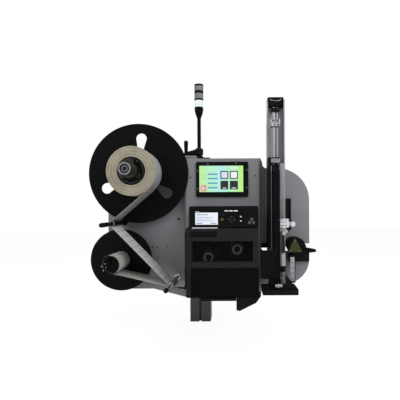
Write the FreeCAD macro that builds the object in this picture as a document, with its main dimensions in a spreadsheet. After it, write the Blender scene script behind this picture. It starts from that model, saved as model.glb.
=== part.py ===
import FreeCAD, Part
import math
import os
import Sketcher

# Automatic labeler: a print and apply head on a lift column.
# Millimetres, +Z up, +X to the right, the operator stands on the -Y side.
# The origin is the centre of the column's lower end face.
# Depths are counted outwards from the front face of the main plate.

SIZES = {
    # General clearances
    "fit_gap": 0.05,
    "running_gap": 0.3,
    "seat_gap": 0.1,
    "edge_step": 1,
    # Lift column
    "column_side": 80,
    "column_height": 632,
    "column_round": 4,
    "slot_mouth": 8.2,
    "slot_lip": 4.5,
    "slot_inside": 16,
    "slot_depth": 13,
    "slot_floor": 9,
    "core_bore": 8,
    "foot_bore": 4,
    "foot_pitch": 40,
    "cap_height": 8,
    "nose_width": 32,
    "nose_reach": 84,
    # Signal lamp
    "lamp_x": -7,
    "lamp_y": 20,
    "lamp_flange_radius": 16,
    "lamp_flange_height": 6,
    "lamp_pole_radius": 6,
    "lamp_pole_height": 165,
    "lamp_socket_radius": 9,
    "lamp_radius": 18,
    "lamp_cone_height": 45,
    "lens_radius": 17.2,
    "low_lens_height": 27,
    "mid_lens_height": 23,
    "top_lens_height": 21,
    "thin_ring_height": 6,
    "thick_ring_height": 9,
    # Lift spindle and crank
    "spindle_y": 62,
    "spindle_radius": 8,
    "spindle_bottom": 330,
    "spindle_rise": 24,
    "collar_radius": 12,
    "collar_height": 7,
    "hub_radius": 15,
    "hub_height": 32,
    "arm_reach": 50,
    "arm_width": 18,
    "arm_rise": 5,
    "arm_thickness": 10,
    "grip_radius": 8,
    "grip_end_radius": 6.6,
    "grip_height": 43,
    "grip_pin_radius": 4,
    "grip_head_radius": 6,
    "grip_head_height": 3,
    # Carriage
    "carriage_half_width": 62,
    "carriage_bottom": 400,
    "carriage_height": 140,
    "carriage_back": 20,
    "carriage_round": 6,
    # Main plate
    "plate_reach": 120,
    "plate_thickness": 8,
    "plate_left": -331,
    "plate_right": 411,
    "plate_shoulder_z": 450,
    "plate_knee_x": -265,
    "plate_knee_z": 560,
    "plate_crown_x": -190,
    "plate_crown_z": 635,
    "plate_step_x": -3.6,
    "plate_top": 623,
    "plate_brow_x": 236,
    "plate_brow_low_x": 241,
    "plate_wing_top": 589,
    "plate_wing_round": 118,
    "plate_foot_round": 95,
    "plate_right_foot": 160,
    "plate_keel_x": 200,
    "plate_keel_z": 113,
    "plate_keel_left_x": -40,
    "plate_left_foot": 146,
    "plate_slope_x": -164,
    "plate_left_round": 98,
    "plate_small_round": 15,
    "plate_shoulder_round": 60,
    "slot_left": 233,
    "slot_bottom": 283,
    "slot_height": 27,
    # Front cover
    "cover_left": -46,
    "cover_right": 231,
    "cover_bottom": 130,
    "cover_top": 621,
    "cover_depth": 40,
    "cover_wall": 3,
    "cover_round": 12,
    # Operator screen
    "bezel_left": -2,
    "bezel_width": 187,
    "bezel_bottom": 483,
    "bezel_height": 125,
    "bezel_depth": 7,
    "bezel_round": 5,
    "screen_left": 10,
    "screen_width": 157,
    "screen_bottom": 500,
    "screen_height": 94,
    "screen_glass": 1.2,
    "screen_back_margin": 7,
    "screen_back_depth": 32,
    # Rear cabinet
    "cabinet_left": 72,
    "cabinet_width": 152,
    "cabinet_bottom": 210,
    "cabinet_height": 330,
    "cabinet_depth": 110,
    "cabinet_wall": 2.5,
    "cabinet_round": 8,
    "vent_width": 60,
    "vent_height": 5,
    "vent_pitch": 13,
    "vent_bottom": 300,
    # Label web
    "web_width": 104,
    "web_gap": 0.5,
    "web_thickness": 0.5,
    # Supply side
    "supply_x": -208,
    "supply_z": 568,
    "supply_disc_radius": 178,
    "disc_thickness": 4,
    "disc_gap": 0.5,
    "disc_hub_radius": 24,
    "window_radius": 19,
    "window_reach": 125,
    "window_inner_reach": 84,
    "window_inner_half": 10,
    "window_turn": 85,
    "roll_radius": 83,
    "core_radius": 42,
    "core_wall": 4,
    "shaft_radius": 10,
    "brake_radius": 45,
    "brake_length": 50,
    "boss_radius": 22,
    "boss_depth": 30,
    "tail_length": 8,
    "tail_radius": 14,
    "mandrel_hub_radius": 26,
    "mandrel_lobe_radius": 12,
    "mandrel_depth": 156,
    "knob_depth": 44,
    "knob_base_depth": 15,
    "knob_base_radius": 27,
    "knob_tip_radius": 19,
    "tip_radius": 20,
    "tip_bore": 11.5,
    "tip_length": 26,
    "tip_recess": 12,
    "tip_bolt_radius": 6.5,
    "tip_bolt_drop": 4,
    # Rewind side
    "rewind_x": -271,
    "rewind_z": 259,
    "rewind_disc_radius": 110,
    "rewind_mandrel_radius": 24,
    "rewind_mandrel_front": 168,
    "rewind_slit": 5,
    "rewind_core_radius": 29.5,
    "rewind_core_front": 175,
    "rewind_wound_radius": 31,
    "motor_radius": 35,
    "motor_length": 78,
    "clip_wire_radius": 2.5,
    "clip_offset": 12,
    "clip_drop": 15,
    "clip_front": 186,
    # Web guides
    "upper_guide_x": -272,
    "upper_guide_z": 392,
    "lower_guide_x": -76,
    "lower_guide_z": 190,
    "guide_shaft_radius": 5,
    "guide_flange_radius": 12,
    "guide_flange_depth": 8,
    "upper_roller_radius": 8,
    "lower_roller_radius": 7,
    "roller_start": 10,
    "roller_end": 152,
    "guide_ring_depth": 6,
    "upper_guide_end": 260,
    "lower_guide_end": 266,
    "upper_ring_radius": 12,
    "lower_ring_radius": 8,
    "end_collar_radius": 9,
    "end_collar_depth": 10,
    "pin_radius": 3,
    "pin_x": -11,
    "pin_z": 170.5,
    # Print engine
    "engine_left": -17,
    "engine_width": 228,
    "engine_bottom": 158,
    "engine_top": 449,
    "engine_back_wall": 3,
    "engine_floor": 2.5,
    "engine_floor_width": 222,
    "floor_setback": 9,
    "casing_front": 214,
    "casing_wall": 2.5,
    "casing_bottom": 186,
    "bay_top": 376,
    "casing_round": 6,
    "shoulder_width": 9,
    "shoulder_bottom": 380,
    "tray_left": 27,
    "tray_width": 112.5,
    "tray_depth": 60,
    "tray_setback": 1,
    "tray_height": 8.5,
    "bearing_left": 180,
    "bearing_width": 20,
    "bearing_depth": 152,
    "bearing_thickness": 4,
    "bearing_top": 181,
    "panel_margin": 11,
    "panel_right_margin": 3,
    "panel_bottom": 383,
    "panel_depth": 6,
    "panel_round": 10,
    "display_left": 12,
    "display_width": 71,
    "display_bottom": 391,
    "display_height": 38,
    "display_glass": 1,
    "arrow_x": 126,
    "arrow_z": 407,
    "arrow_radius": 13,
    "soft_key_x": 155,
    "line_key_z": 416,
    "feed_key_z": 402,
    "soft_key_width": 12,
    "soft_key_height": 8,
    "key_round": 2,
    "key_stand": 1,
    "key_rise": 1.4,
    "key_gap": 0.4,
    # Engine door
    "door_top": 379,
    "door_bottom": 162,
    "door_crease": 256,
    "door_lead": 8,
    "door_foot_lead": 2,
    "door_wall": 3,
    "hinge_x": -18.5,
    "hinge_lead": 3,
    "hinge_pin_radius": 2,
    "knuckle_radius": 3.5,
    "hinge_bottom": 206,
    "hinge_top": 354,
    "lug_height": 12,
    "lug_length": 10.5,
    "glass_left": 1.5,
    "glass_width": 191,
    "glass_bottom": 275,
    "glass_height": 64,
    "glass_lip": 3,
    "glass_thickness": 1.8,
    # Ribbon and print head
    "ribbon_supply_x": 143,
    "ribbon_supply_z": 310,
    "ribbon_rewind_x": 51,
    "ribbon_rewind_z": 285,
    "stud_radius": 5,
    "stud_setback": 18,
    "spool_radius": 18,
    "ribbon_radius": 22,
    "spool_back": 47,
    "spool_front": 194,
    "ribbon_back": 60,
    "ribbon_front": 176,
    "platen_x": 190,
    "platen_radius": 6.5,
    "platen_shaft_radius": 3,
    "peel_nose_x": 213,
    "peel_nose_radius": 1.2,
    "peel_root_x": 199.5,
    "peel_root_height": 6.6,
    "head_pivot_x": 60,
    "head_pivot_z": 207,
    "head_pivot_radius": 4,
    "head_arm_bottom": 198,
    "head_arm_top": 214,
    "head_left": 50,
    "head_right": 203,
    "head_nose_left": 178,
    "head_back": 46,
    "head_front": 150,
    "lever_x": 120,
    "lever_z": 229,
    "lever_depth": 160,
    "lever_thickness": 10,
    "lever_hub_radius": 8,
    "lever_reach": 44,
    "lever_width": 10,
    # Outfeed guard
    "guard_left": 140,
    "guard_low_z": 118,
    "guard_toe_x": 150,
    "guard_toe_z": 115,
    "guard_heel_x": 203,
    "guard_heel_z": 141,
    "guard_right_x": 219,
    "guard_right_z": 163,
    "guard_peak_x": 209,
    "guard_peak_z": 180,
    "guard_root_x": 205.5,
    "guard_back": 158,
    "guard_setback": 10,
    # Applicator column
    "applicator_left": 253,
    "applicator_width": 64,
    "applicator_depth": 45,
    "applicator_wall": 4,
    "applicator_bottom": 240,
    "applicator_top": 832,
    "applicator_round": 6,
    "hood_height": 31,
    "hood_wall": 2,
    "hood_roof": 4,
    # Tamp cylinder and rods
    "slide_left": 252,
    "slide_width": 40,
    "slide_depth": 50,
    "slide_bottom": 300,
    "slide_top": 617,
    "slide_round": 4,
    "main_rod_x": 274,
    "rod_depth": 80,
    "main_rod_radius": 6,
    "side_rod_x": 285.5,
    "side_rod_radius": 3,
    "rod_top": 792,
    "yoke_left": 259,
    "yoke_width": 33,
    "yoke_height": 8,
    "yoke_depth": 24,
    "clamp_bottom": 725,
    "clamp_height": 25,
    "clamp_left": 261,
    "clamp_width": 34,
    "clamp_depth": 28,
    "duct_left": 266,
    "duct_width": 25,
    "duct_depth": 18,
    "duct_round": 8,
    "duct_top": 572,
    "duct_groove": 3,
    "duct_groove_depth": 6,
    "duct_pitch": 9,
    # Tamp pad
    "pad_left": 228,
    "pad_width": 119,
    "pad_bottom": 153,
    "pad_height": 18,
    "pad_reach": 108,
    "pad_round": 5,
    "pad_hole_radius": 2,
    "pad_hole_pitch": 28,
    "carrier_left": 254,
    "carrier_width": 40,
    "carrier_height": 26,
    "carrier_back": 62,
    "carrier_depth": 40,
    "shroud_left": 227,
    "shroud_width": 65,
    "shroud_gap": 4,
    "shroud_back": 60,
    "shroud_depth": 36,
    "shroud_wall": 2,
    "gusset_left": 304,
    "gusset_height": 52,
    "gusset_back": 138,
    "gusset_thickness": 6,
    "buffer_x": 298,
    "buffer_depth": 122,
    "buffer_radius": 9.5,
    "buffer_top": 289,
    "buffer_height": 50,
    "buffer_neck_radius": 7,
    "buffer_neck_height": 16,
    "buffer_stem_radius": 4,
    "buffer_ring_radius": 7.5,
    "buffer_ring_height": 3,
    "buffer_ring_pitch": 6,
    # Valve block and knob
    "valve_left": 293,
    "valve_width": 30,
    "valve_bottom": 373,
    "valve_height": 31,
    "valve_depth": 45,
    "valve_arm_right": 350,
    "valve_arm_bottom": 376,
    "valve_arm_height": 16,
    "valve_arm_depth": 12,
    "elbow_radius": 8,
    "elbow_drop": 26,
    "knob_x": 341,
    "knob_z": 384,
    "regulator_radius": 8.5,
    "regulator_stem_radius": 3,
    "regulator_length": 14,
    "regulator_cap": 5,
    # Vacuum unit
    "vacuum_x": 347,
    "vacuum_z": 310.5,
    "vacuum_radius": 30.5,
    "vacuum_depth": 110,
    "vacuum_waist_radius": 26,
    "vacuum_waist_depth": 60,
    "vacuum_rim": 8,
    # Rail, bracket and clamp lever
    "rail_left": 324,
    "rail_width": 18,
    "rail_bottom": 361,
    "rail_height": 115,
    "rail_depth": 14,
    "rail_groove": 6,
    "rail_groove_depth": 5,
    "bracket_left": 334,
    "bracket_right": 408,
    "bracket_bottom": 245,
    "bracket_height": 33,
    "bracket_thickness": 12,
    "post_width": 16,
    "post_arm_height": 25,
    "post_bottom": 176,
    "post_back": 44,
    "post_depth": 16,
    "stud_foot_radius": 9,
    "clamp_x": 388,
    "clamp_rise": 18.5,
    "clamp_stud_radius": 4,
    "clamp_lever_depth": 92,
    "clamp_hub_radius": 10,
    "clamp_hub_depth": 16,
    "clamp_reach": 26,
    "clamp_root_half": 8,
    "clamp_tip_half": 3.5,
}

TOLERANCE = 0.02

doc = FreeCAD.newDocument("AutomaticLabeler")
sheet = doc.addObject("Spreadsheet::Sheet", "Sizes")
for row, (alias, length) in enumerate(SIZES.items(), start=1):
    sheet.set("A%d" % row, alias)
    sheet.set("B%d" % row, str(length))
    sheet.setAlias("B%d" % row, alias)
doc.recompute()


class Size:
    """A length with the sheet expression that gives it."""

    def __init__(self, value, text):
        self.value = float(value)
        self.text = text

    def __add__(self, other):
        other = as_size(other)
        return Size(self.value + other.value, "(%s + %s)" % (self.text, other.text))

    def __sub__(self, other):
        other = as_size(other)
        return Size(self.value - other.value, "(%s - %s)" % (self.text, other.text))

    def __mul__(self, factor):
        return Size(self.value * factor, "(%s * %r)" % (self.text, factor))

    def __truediv__(self, divisor):
        return Size(self.value / divisor, "(%s / %r)" % (self.text, divisor))

    def __neg__(self):
        return Size(-self.value, "(0 - %s)" % self.text)


def as_size(number):
    """Give a plain number the form of a Size."""
    if isinstance(number, Size):
        return number
    return Size(number, "(%r)" % number)


class Named:
    """The driving sizes by name, each bound to its cell."""

    def __getattr__(self, name):
        return Size(SIZES[name], "Sizes." + name)


S = Named()
disc_back = S.cover_depth + S.disc_gap
disc_front = disc_back + S.disc_thickness
web_start = disc_front + S.web_gap
door_front = S.casing_front + S.door_lead
door_foot_front = S.casing_front + S.door_foot_lead
hinge_depth = S.casing_front + S.hinge_lead
stud_front = S.casing_front - S.stud_setback
PLANES = {"front": "XZ_Plane", "top": "XY_Plane", "side": "YZ_Plane"}
nodes = []


def place(thing, x, y, z):
    """Bind the position of an object to the sheet."""
    for axis, size in zip("xyz", (x, y, z)):
        thing.setExpression("Placement.Base." + axis, as_size(size).text)


def node(thing, name):
    """Name a finished sub-part and list it for writing."""
    thing.Label = name
    nodes.append(thing)
    return thing


class Form:
    """A PartDesign body drawn on its own origin planes.

    Front sketches use (x, z) and grow outwards, top sketches use (x, y) and grow up,
    side sketches use (y, z) and grow to the right.
    """

    def __init__(self, name, x=0, y=0, z=0):
        self.body = doc.addObject("PartDesign::Body", name)
        place(self.body, x, y, z)

    def origin(self, role):
        return [part for part in self.body.Origin.OriginFeatures if part.Role == role][0]

    def sketch(self, plane, loops=(), circles=(), at=0):
        drawing = self.body.newObject("Sketcher::SketchObject", self.body.Name + "_sketch")
        drawing.AttachmentSupport = [(self.origin(PLANES[plane]), "")]
        drawing.MapMode = "FlatFace"
        drawing.setExpression("AttachmentOffset.Base.z", as_size(at).text)
        for loop in loops:
            add_loop(drawing, loop)
        for centre_x, centre_y, radius in circles:
            add_circle(drawing, as_size(centre_x), as_size(centre_y), as_size(radius))
        return drawing

    def pad(self, length, plane="front", loops=(), circles=(), at=0):
        feature = self.body.newObject("PartDesign::Pad", self.body.Name + "_pad")
        feature.Profile = self.sketch(plane, loops, circles, at)
        feature.setExpression("Length", as_size(length).text)
        doc.recompute()
        return feature

    def pocket(self, depth, plane="front", loops=(), circles=(), at=0):
        feature = self.body.newObject("PartDesign::Pocket", self.body.Name + "_pocket")
        feature.Profile = self.sketch(plane, loops, circles, at)
        feature.Reversed = True
        feature.setExpression("Length", as_size(depth).text)
        doc.recompute()
        return feature

    def turn(self, profile, axis):
        """Turn a profile of (along, radius) points about the body's Y or Z axis."""
        feature = self.body.newObject("PartDesign::Revolution", self.body.Name + "_turned")
        if axis == "Y":
            feature.Profile = self.sketch("side", [[(-as_size(u), r) for u, r in profile]])
        else:
            feature.Profile = self.sketch("front", [[(r, u) for u, r in profile]])
        feature.ReferenceAxis = (self.origin(axis + "_Axis"), [""])
        feature.Angle = 360
        doc.recompute()
        return feature

    def around(self, features, count, axis):
        pattern = self.body.newObject("PartDesign::PolarPattern", self.body.Name + "_around")
        pattern.Originals = features
        pattern.Axis = (self.origin(axis + "_Axis"), [""])
        pattern.Angle = 360
        pattern.Occurrences = count
        self.body.Tip = pattern
        doc.recompute()
        return pattern

    def along(self, features, count, pitch, axis, backwards=False):
        pattern = self.body.newObject("PartDesign::LinearPattern", self.body.Name + "_along")
        pattern.Originals = features
        pattern.Reversed = backwards
        pattern.Direction = (self.origin(axis + "_Axis"), [""])
        pattern.Mode = "Spacing"
        pattern.Occurrences = count
        pattern.setExpression("Offset", as_size(pitch).text)
        self.body.Tip = pattern
        doc.recompute()
        return pattern

    def fillet(self, radius, axis, spots):
        """Round the edges that run along an axis through the given spots."""
        tip = self.body.Tip
        names = edges_along(tip.Shape, axis, spots)
        feature = self.body.newObject("PartDesign::Fillet", self.body.Name + "_round")
        feature.Base = (tip, names)
        feature.setExpression("Radius", as_size(radius).text)
        doc.recompute()
        return feature


def add_loop(drawing, corners):
    """Draw a closed outline with every corner bound to the sheet."""
    corners = [(as_size(x), as_size(y)) for x, y in corners]
    first = drawing.GeometryCount
    count = len(corners)
    for index in range(count):
        start = corners[index]
        end = corners[(index + 1) % count]
        line = Part.LineSegment(
            FreeCAD.Vector(start[0].value, start[1].value, 0),
            FreeCAD.Vector(end[0].value, end[1].value, 0),
        )
        drawing.addGeometry(line, False)
    for index in range(count):
        after = first + (index + 1) % count
        drawing.addConstraint(Sketcher.Constraint("Coincident", first + index, 2, after, 1))
    for index, corner in enumerate(corners):
        bind_point(drawing, first + index, 1, corner)


def add_circle(drawing, x, y, radius):
    """Draw a circle with its centre and radius bound to the sheet."""
    centre = FreeCAD.Vector(x.value, y.value, 0)
    circle = Part.Circle(centre, FreeCAD.Vector(0, 0, 1), radius.value)
    index = drawing.addGeometry(circle, False)
    bind_point(drawing, index, 3, (x, y))
    number = drawing.addConstraint(Sketcher.Constraint("Radius", index, radius.value))
    drawing.setExpression("Constraints[%d]" % number, radius.text)


def bind_point(drawing, index, end, point):
    """Hold one point of a sketch at two sheet sizes from its origin."""
    for kind, size in zip(("DistanceX", "DistanceY"), point):
        number = drawing.addConstraint(Sketcher.Constraint(kind, -1, 1, index, end, size.value))
        drawing.setExpression("Constraints[%d]" % number, size.text)


def edges_along(shape, axis, spots):
    """Name the straight edges along X, Y or Z whose other two coordinates are a given spot."""
    others = {"X": ("y", "z"), "Y": ("x", "z"), "Z": ("x", "y")}[axis]
    wanted = [(as_size(a).value, as_size(b).value) for a, b in spots]
    names = []
    for number, edge in enumerate(shape.Edges, start=1):
        points = [vertex.Point for vertex in edge.Vertexes]
        if len(points) != 2 or edge.Curve.TypeId != "Part::GeomLine":
            continue
        for first, second in wanted:
            offsets = [
                max(abs(getattr(point, others[0]) - first), abs(getattr(point, others[1]) - second))
                for point in points
            ]
            if max(offsets) < TOLERANCE:
                names.append("Edge%d" % number)
    return names


def rectangle(left, bottom, width, height):
    """Give the four corners of an upright rectangle."""
    left, bottom = as_size(left), as_size(bottom)
    right, top = left + width, bottom + height
    return [(left, bottom), (right, bottom), (right, top), (left, top)]


def block(name, left, back, bottom, width, depth, height):
    """Make a box that stands out from the main plate, from its back depth outwards."""
    thing = doc.addObject("Part::Box", name)
    thing.setExpression("Length", as_size(width).text)
    thing.setExpression("Width", as_size(depth).text)
    thing.setExpression("Height", as_size(height).text)
    place(thing, left, -(S.plate_reach + back + depth), bottom)
    return thing


def peg(name, radius, x, z, start, end):
    """Make a round bar that stands out from the main plate between two depths."""
    start, end = as_size(start), as_size(end)
    thing = doc.addObject("Part::Cylinder", name)
    thing.Placement = FreeCAD.Placement(
        FreeCAD.Vector(0, 0, 0), FreeCAD.Rotation(FreeCAD.Vector(1, 0, 0), 90)
    )
    thing.setExpression("Radius", as_size(radius).text)
    thing.setExpression("Height", (end - start).text)
    place(thing, x, -(S.plate_reach + start), z)
    return thing


def post(name, radius, x, y, bottom, height):
    """Make an upright round bar."""
    thing = doc.addObject("Part::Cylinder", name)
    thing.setExpression("Radius", as_size(radius).text)
    thing.setExpression("Height", as_size(height).text)
    place(thing, x, y, bottom)
    return thing


def join(name, things):
    """Fuse touching solids into one piece."""
    thing = doc.addObject("Part::MultiFuse", name)
    thing.Shapes = things
    thing.Refine = True
    return thing


def group(name, things):
    """Keep separate solids of one kind together."""
    thing = doc.addObject("Part::Compound", name)
    thing.Links = things
    return thing


def take(name, base, tool):
    """Cut one solid out of another."""
    thing = doc.addObject("Part::Cut", name)
    thing.Base = base
    thing.Tool = tool
    thing.Refine = True
    return thing


def head_form(name):
    """Start a body whose depths are counted from the front of the main plate."""
    return Form(name, 0, -S.plate_reach, 0)


def turned_out(name, x, z, profile):
    """Turn a piece about an axis that stands out from the plate: (depth, radius) points."""
    form = Form(name, x, -S.plate_reach, z)
    form.turn(profile, "Y")
    return form


def turned_up(name, x, y, profile):
    """Turn a piece about an upright axis: (height, radius) points."""
    form = Form(name, x, y, 0)
    form.turn(profile, "Z")
    return form


# Lift column, open T-slot profile with bores at its foot
half_side = S.column_side / 2
column = Form("column_form")
column.pad(S.column_height, "top", [rectangle(-half_side, -half_side, S.column_side, S.column_side)])
corners = [(-half_side, -half_side), (half_side, -half_side), (half_side, half_side), (-half_side, half_side)]
column.fillet(S.column_round, "Z", corners)
mouth, inside, floor = S.slot_mouth / 2, S.slot_inside / 2, S.slot_floor / 2
slot_outline = [
    (-mouth, -half_side),
    (mouth, -half_side),
    (mouth, S.slot_lip - half_side),
    (inside, S.slot_lip - half_side),
    (inside, S.slot_lip * 2 - half_side),
    (floor, S.slot_depth - half_side),
    (-floor, S.slot_depth - half_side),
    (-inside, S.slot_lip * 2 - half_side),
    (-inside, S.slot_lip - half_side),
    (-mouth, S.slot_lip - half_side),
]
slot = column.pocket(S.column_height, "top", [slot_outline])
column.around([slot], 4, "Z")
half_pitch = S.foot_pitch / 2
bores = [(x, y, S.foot_bore) for x in (-half_pitch, half_pitch) for y in (-half_pitch, half_pitch)]
column.pocket(S.column_height, "top", circles=bores + [(0, 0, S.core_bore)])
node(column.body, "stand_column")

# Column cap with the nose that carries the spindle
cap = Form("cap_form", 0, 0, S.column_height)
half_nose = S.nose_width / 2
cap_outline = [
    (-half_side, half_side),
    (-half_side, -half_side),
    (-half_nose, -half_side),
    (-half_nose, -S.nose_reach),
    (half_nose, -S.nose_reach),
    (half_nose, -half_side),
    (half_side, -half_side),
    (half_side, half_side),
]
cap.pad(S.cap_height, "top", [cap_outline])
cap.fillet(S.column_round * 2, "Z", [(-half_nose, -S.nose_reach), (half_nose, -S.nose_reach)])
cap.fillet(S.column_round, "Z", corners)
cap.pocket(S.cap_height, "top", circles=[(0, -S.spindle_y, S.spindle_radius + S.fit_gap)])
node(cap.body, "column_cap")
cap_top = S.column_height + S.cap_height

# Signal lamp on the column
pole_top = cap_top + S.lamp_pole_height
cone_top = pole_top + S.lamp_cone_height
pole = turned_up("pole_form", S.lamp_x, S.lamp_y, [
    (cap_top, 0),
    (cap_top, S.lamp_flange_radius),
    (cap_top + S.lamp_flange_height, S.lamp_flange_radius),
    (cap_top + S.lamp_flange_height, S.lamp_pole_radius),
    (pole_top, S.lamp_pole_radius),
    (pole_top, S.lamp_socket_radius),
    (cone_top, S.lamp_radius),
    (cone_top, 0),
])
node(pole.body, "lamp_pole")
lens_starts = [
    (cone_top, S.low_lens_height),
    (cone_top + S.low_lens_height + S.thin_ring_height, S.mid_lens_height),
    (cone_top + S.low_lens_height + S.thin_ring_height + S.mid_lens_height + S.thick_ring_height,
     S.top_lens_height),
]
lenses = [
    post("lens_%d" % number, S.lens_radius, S.lamp_x, S.lamp_y, bottom, height)
    for number, (bottom, height) in enumerate(lens_starts, start=1)
]
node(group("lens_group", lenses), "lamp_lenses")
rings = [
    post("lamp_ring_%d" % number, S.lamp_radius, S.lamp_x, S.lamp_y, bottom + height, thickness)
    for number, ((bottom, height), thickness) in enumerate(
        zip(lens_starts, (S.thin_ring_height, S.thick_ring_height, S.thin_ring_height)), start=1)
]
node(group("ring_group", rings), "lamp_rings")

# Lift spindle
spindle_top = cap_top + S.spindle_rise
spindle = turned_up("spindle_form", 0, -S.spindle_y, [
    (S.spindle_bottom, 0),
    (S.spindle_bottom, S.spindle_radius),
    (S.column_height - S.running_gap - S.collar_height, S.spindle_radius),
    (S.column_height - S.running_gap - S.collar_height, S.collar_radius),
    (S.column_height - S.running_gap, S.collar_radius),
    (S.column_height - S.running_gap, S.spindle_radius),
    (spindle_top, S.spindle_radius),
    (spindle_top, 0),
])
node(spindle.body, "lift_spindle")

# Crank arm with its hub and the pin of the grip
hub_bottom = cap_top + S.running_gap
arm_bottom = hub_bottom + S.arm_rise
arm_top = arm_bottom + S.arm_thickness
half_arm = S.arm_width / 2
crank = Form("crank_form", 0, -S.spindle_y, 0)
crank.pad(S.hub_height, "top", circles=[(0, 0, S.hub_radius)], at=hub_bottom)
crank.pad(S.arm_thickness, "top",
          [rectangle(-(S.arm_reach + half_arm), -half_arm, S.arm_reach + half_arm, S.arm_width)],
          at=arm_bottom)
arm_end = -(S.arm_reach + half_arm)
crank.fillet(half_arm - S.seat_gap, "Z", [(arm_end, -half_arm), (arm_end, half_arm)])
grip_bottom = arm_top + S.running_gap
grip_top = grip_bottom + S.grip_height
crank.pad(S.running_gap * 2 + S.grip_height, "top", circles=[(-S.arm_reach, 0, S.grip_pin_radius)],
          at=arm_top)
crank.pad(S.grip_head_height, "top", circles=[(-S.arm_reach, 0, S.grip_head_radius)],
          at=grip_top + S.running_gap)
crank.pocket(spindle_top - hub_bottom, "top", circles=[(0, 0, S.spindle_radius + S.fit_gap)], at=hub_bottom)
node(crank.body, "crank_arm")
grip_middle = grip_bottom + S.grip_height / 2
grip = turned_up("grip_form", -S.arm_reach, -S.spindle_y, [
    (grip_bottom, S.grip_pin_radius + S.fit_gap),
    (grip_bottom, S.grip_end_radius),
    (grip_middle, S.grip_radius),
    (grip_top, S.grip_end_radius),
    (grip_top, S.grip_pin_radius + S.fit_gap),
])
node(grip.body, "crank_grip")

# Carriage that slides on the column and holds the spindle nut
plate_back = S.plate_reach - S.plate_thickness
slide_face = half_side + S.running_gap
tongue_half = mouth - S.running_gap
tongue_end = half_side - S.slot_lip + S.running_gap
wide = S.carriage_half_width
carriage = Form("carriage_form", 0, 0, S.carriage_bottom)
carriage.pad(S.carriage_height, "top", [[
    (-wide, -plate_back),
    (wide, -plate_back),
    (wide, S.carriage_back),
    (slide_face, S.carriage_back),
    (slide_face, -slide_face),
    (tongue_half, -slide_face),
    (tongue_half, -tongue_end),
    (-tongue_half, -tongue_end),
    (-tongue_half, -slide_face),
    (-slide_face, -slide_face),
    (-slide_face, S.carriage_back),
    (-wide, S.carriage_back),
]])
carriage.fillet(S.carriage_round, "Z", [(-wide, S.carriage_back), (wide, S.carriage_back)])
carriage.pocket(S.carriage_height, "top", circles=[(0, -S.spindle_y, S.spindle_radius + S.fit_gap)])
node(carriage.body, "carriage")

# Main plate
slot_top = S.slot_bottom + S.slot_height
plate = Form("plate_form", 0, -plate_back, 0)
plate.pad(S.plate_thickness, "front", [[
    (S.plate_crown_x, S.plate_crown_z),
    (S.plate_step_x, S.plate_crown_z),
    (S.plate_step_x, S.plate_top),
    (S.plate_brow_x, S.plate_top),
    (S.plate_brow_low_x, S.plate_wing_top),
    (S.plate_right, S.plate_wing_top),
    (S.plate_right, slot_top),
    (S.slot_left, slot_top),
    (S.slot_left, S.slot_bottom),
    (S.plate_right, S.slot_bottom),
    (S.plate_right, S.plate_right_foot),
    (S.plate_keel_x, S.plate_right_foot),
    (S.plate_keel_x, S.plate_keel_z),
    (S.plate_keel_left_x, S.plate_keel_z),
    (S.plate_slope_x, S.plate_left_foot),
    (S.plate_left, S.plate_left_foot),
    (S.plate_left, S.plate_shoulder_z),
    (S.plate_knee_x, S.plate_knee_z),
]])
plate.fillet(S.plate_wing_round, "Y", [(S.plate_right, S.plate_wing_top)])
plate.fillet(S.plate_foot_round, "Y", [(S.plate_right, S.plate_right_foot)])
plate.fillet(S.plate_left_round, "Y", [(S.plate_left, S.plate_left_foot)])
plate.fillet(S.plate_small_round, "Y", [
    (S.plate_brow_x, S.plate_top),
    (S.plate_brow_low_x, S.plate_wing_top),
    (S.plate_crown_x, S.plate_crown_z),
    (S.plate_keel_x, S.plate_keel_z),
])
plate.fillet(S.plate_shoulder_round, "Y", [
    (S.plate_left, S.plate_shoulder_z),
    (S.plate_knee_x, S.plate_knee_z),
])
plate.fillet(S.slot_height / 2 - S.seat_gap, "Y", [(S.slot_left, S.slot_bottom), (S.slot_left, slot_top)])
plate.pocket(S.plate_thickness, "front", circles=[
    (S.supply_x, S.supply_z, S.boss_radius + S.seat_gap),
    (S.rewind_x, S.rewind_z, S.boss_radius + S.seat_gap),
])
node(plate.body, "main_plate")

# Front cover, a folded tray that stands out from the plate
cover = head_form("cover_form")
cover_width = S.cover_right - S.cover_left
cover_height = S.cover_top - S.cover_bottom
cover.pad(S.cover_depth, "front", [rectangle(S.cover_left, S.cover_bottom, cover_width, cover_height)])
cover.fillet(S.cover_round, "Z", [(S.cover_left, -S.cover_depth), (S.cover_right, -S.cover_depth)])
cover.pocket(S.cover_depth - S.cover_wall, "front", [rectangle(
    S.cover_left + S.cover_wall, S.cover_bottom + S.cover_wall,
    cover_width - S.cover_wall * 2, cover_height - S.cover_wall * 2)])
back_left = S.bezel_left + S.screen_back_margin
back_bottom = S.bezel_bottom + S.screen_back_margin
back_width = S.bezel_width - S.screen_back_margin * 2
back_height = S.bezel_height - S.screen_back_margin * 2
cover.pocket(S.cover_depth, "front", [rectangle(
    back_left - S.running_gap, back_bottom - S.running_gap,
    back_width + S.running_gap * 2, back_height + S.running_gap * 2)])
node(cover.body, "front_cover")

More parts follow.
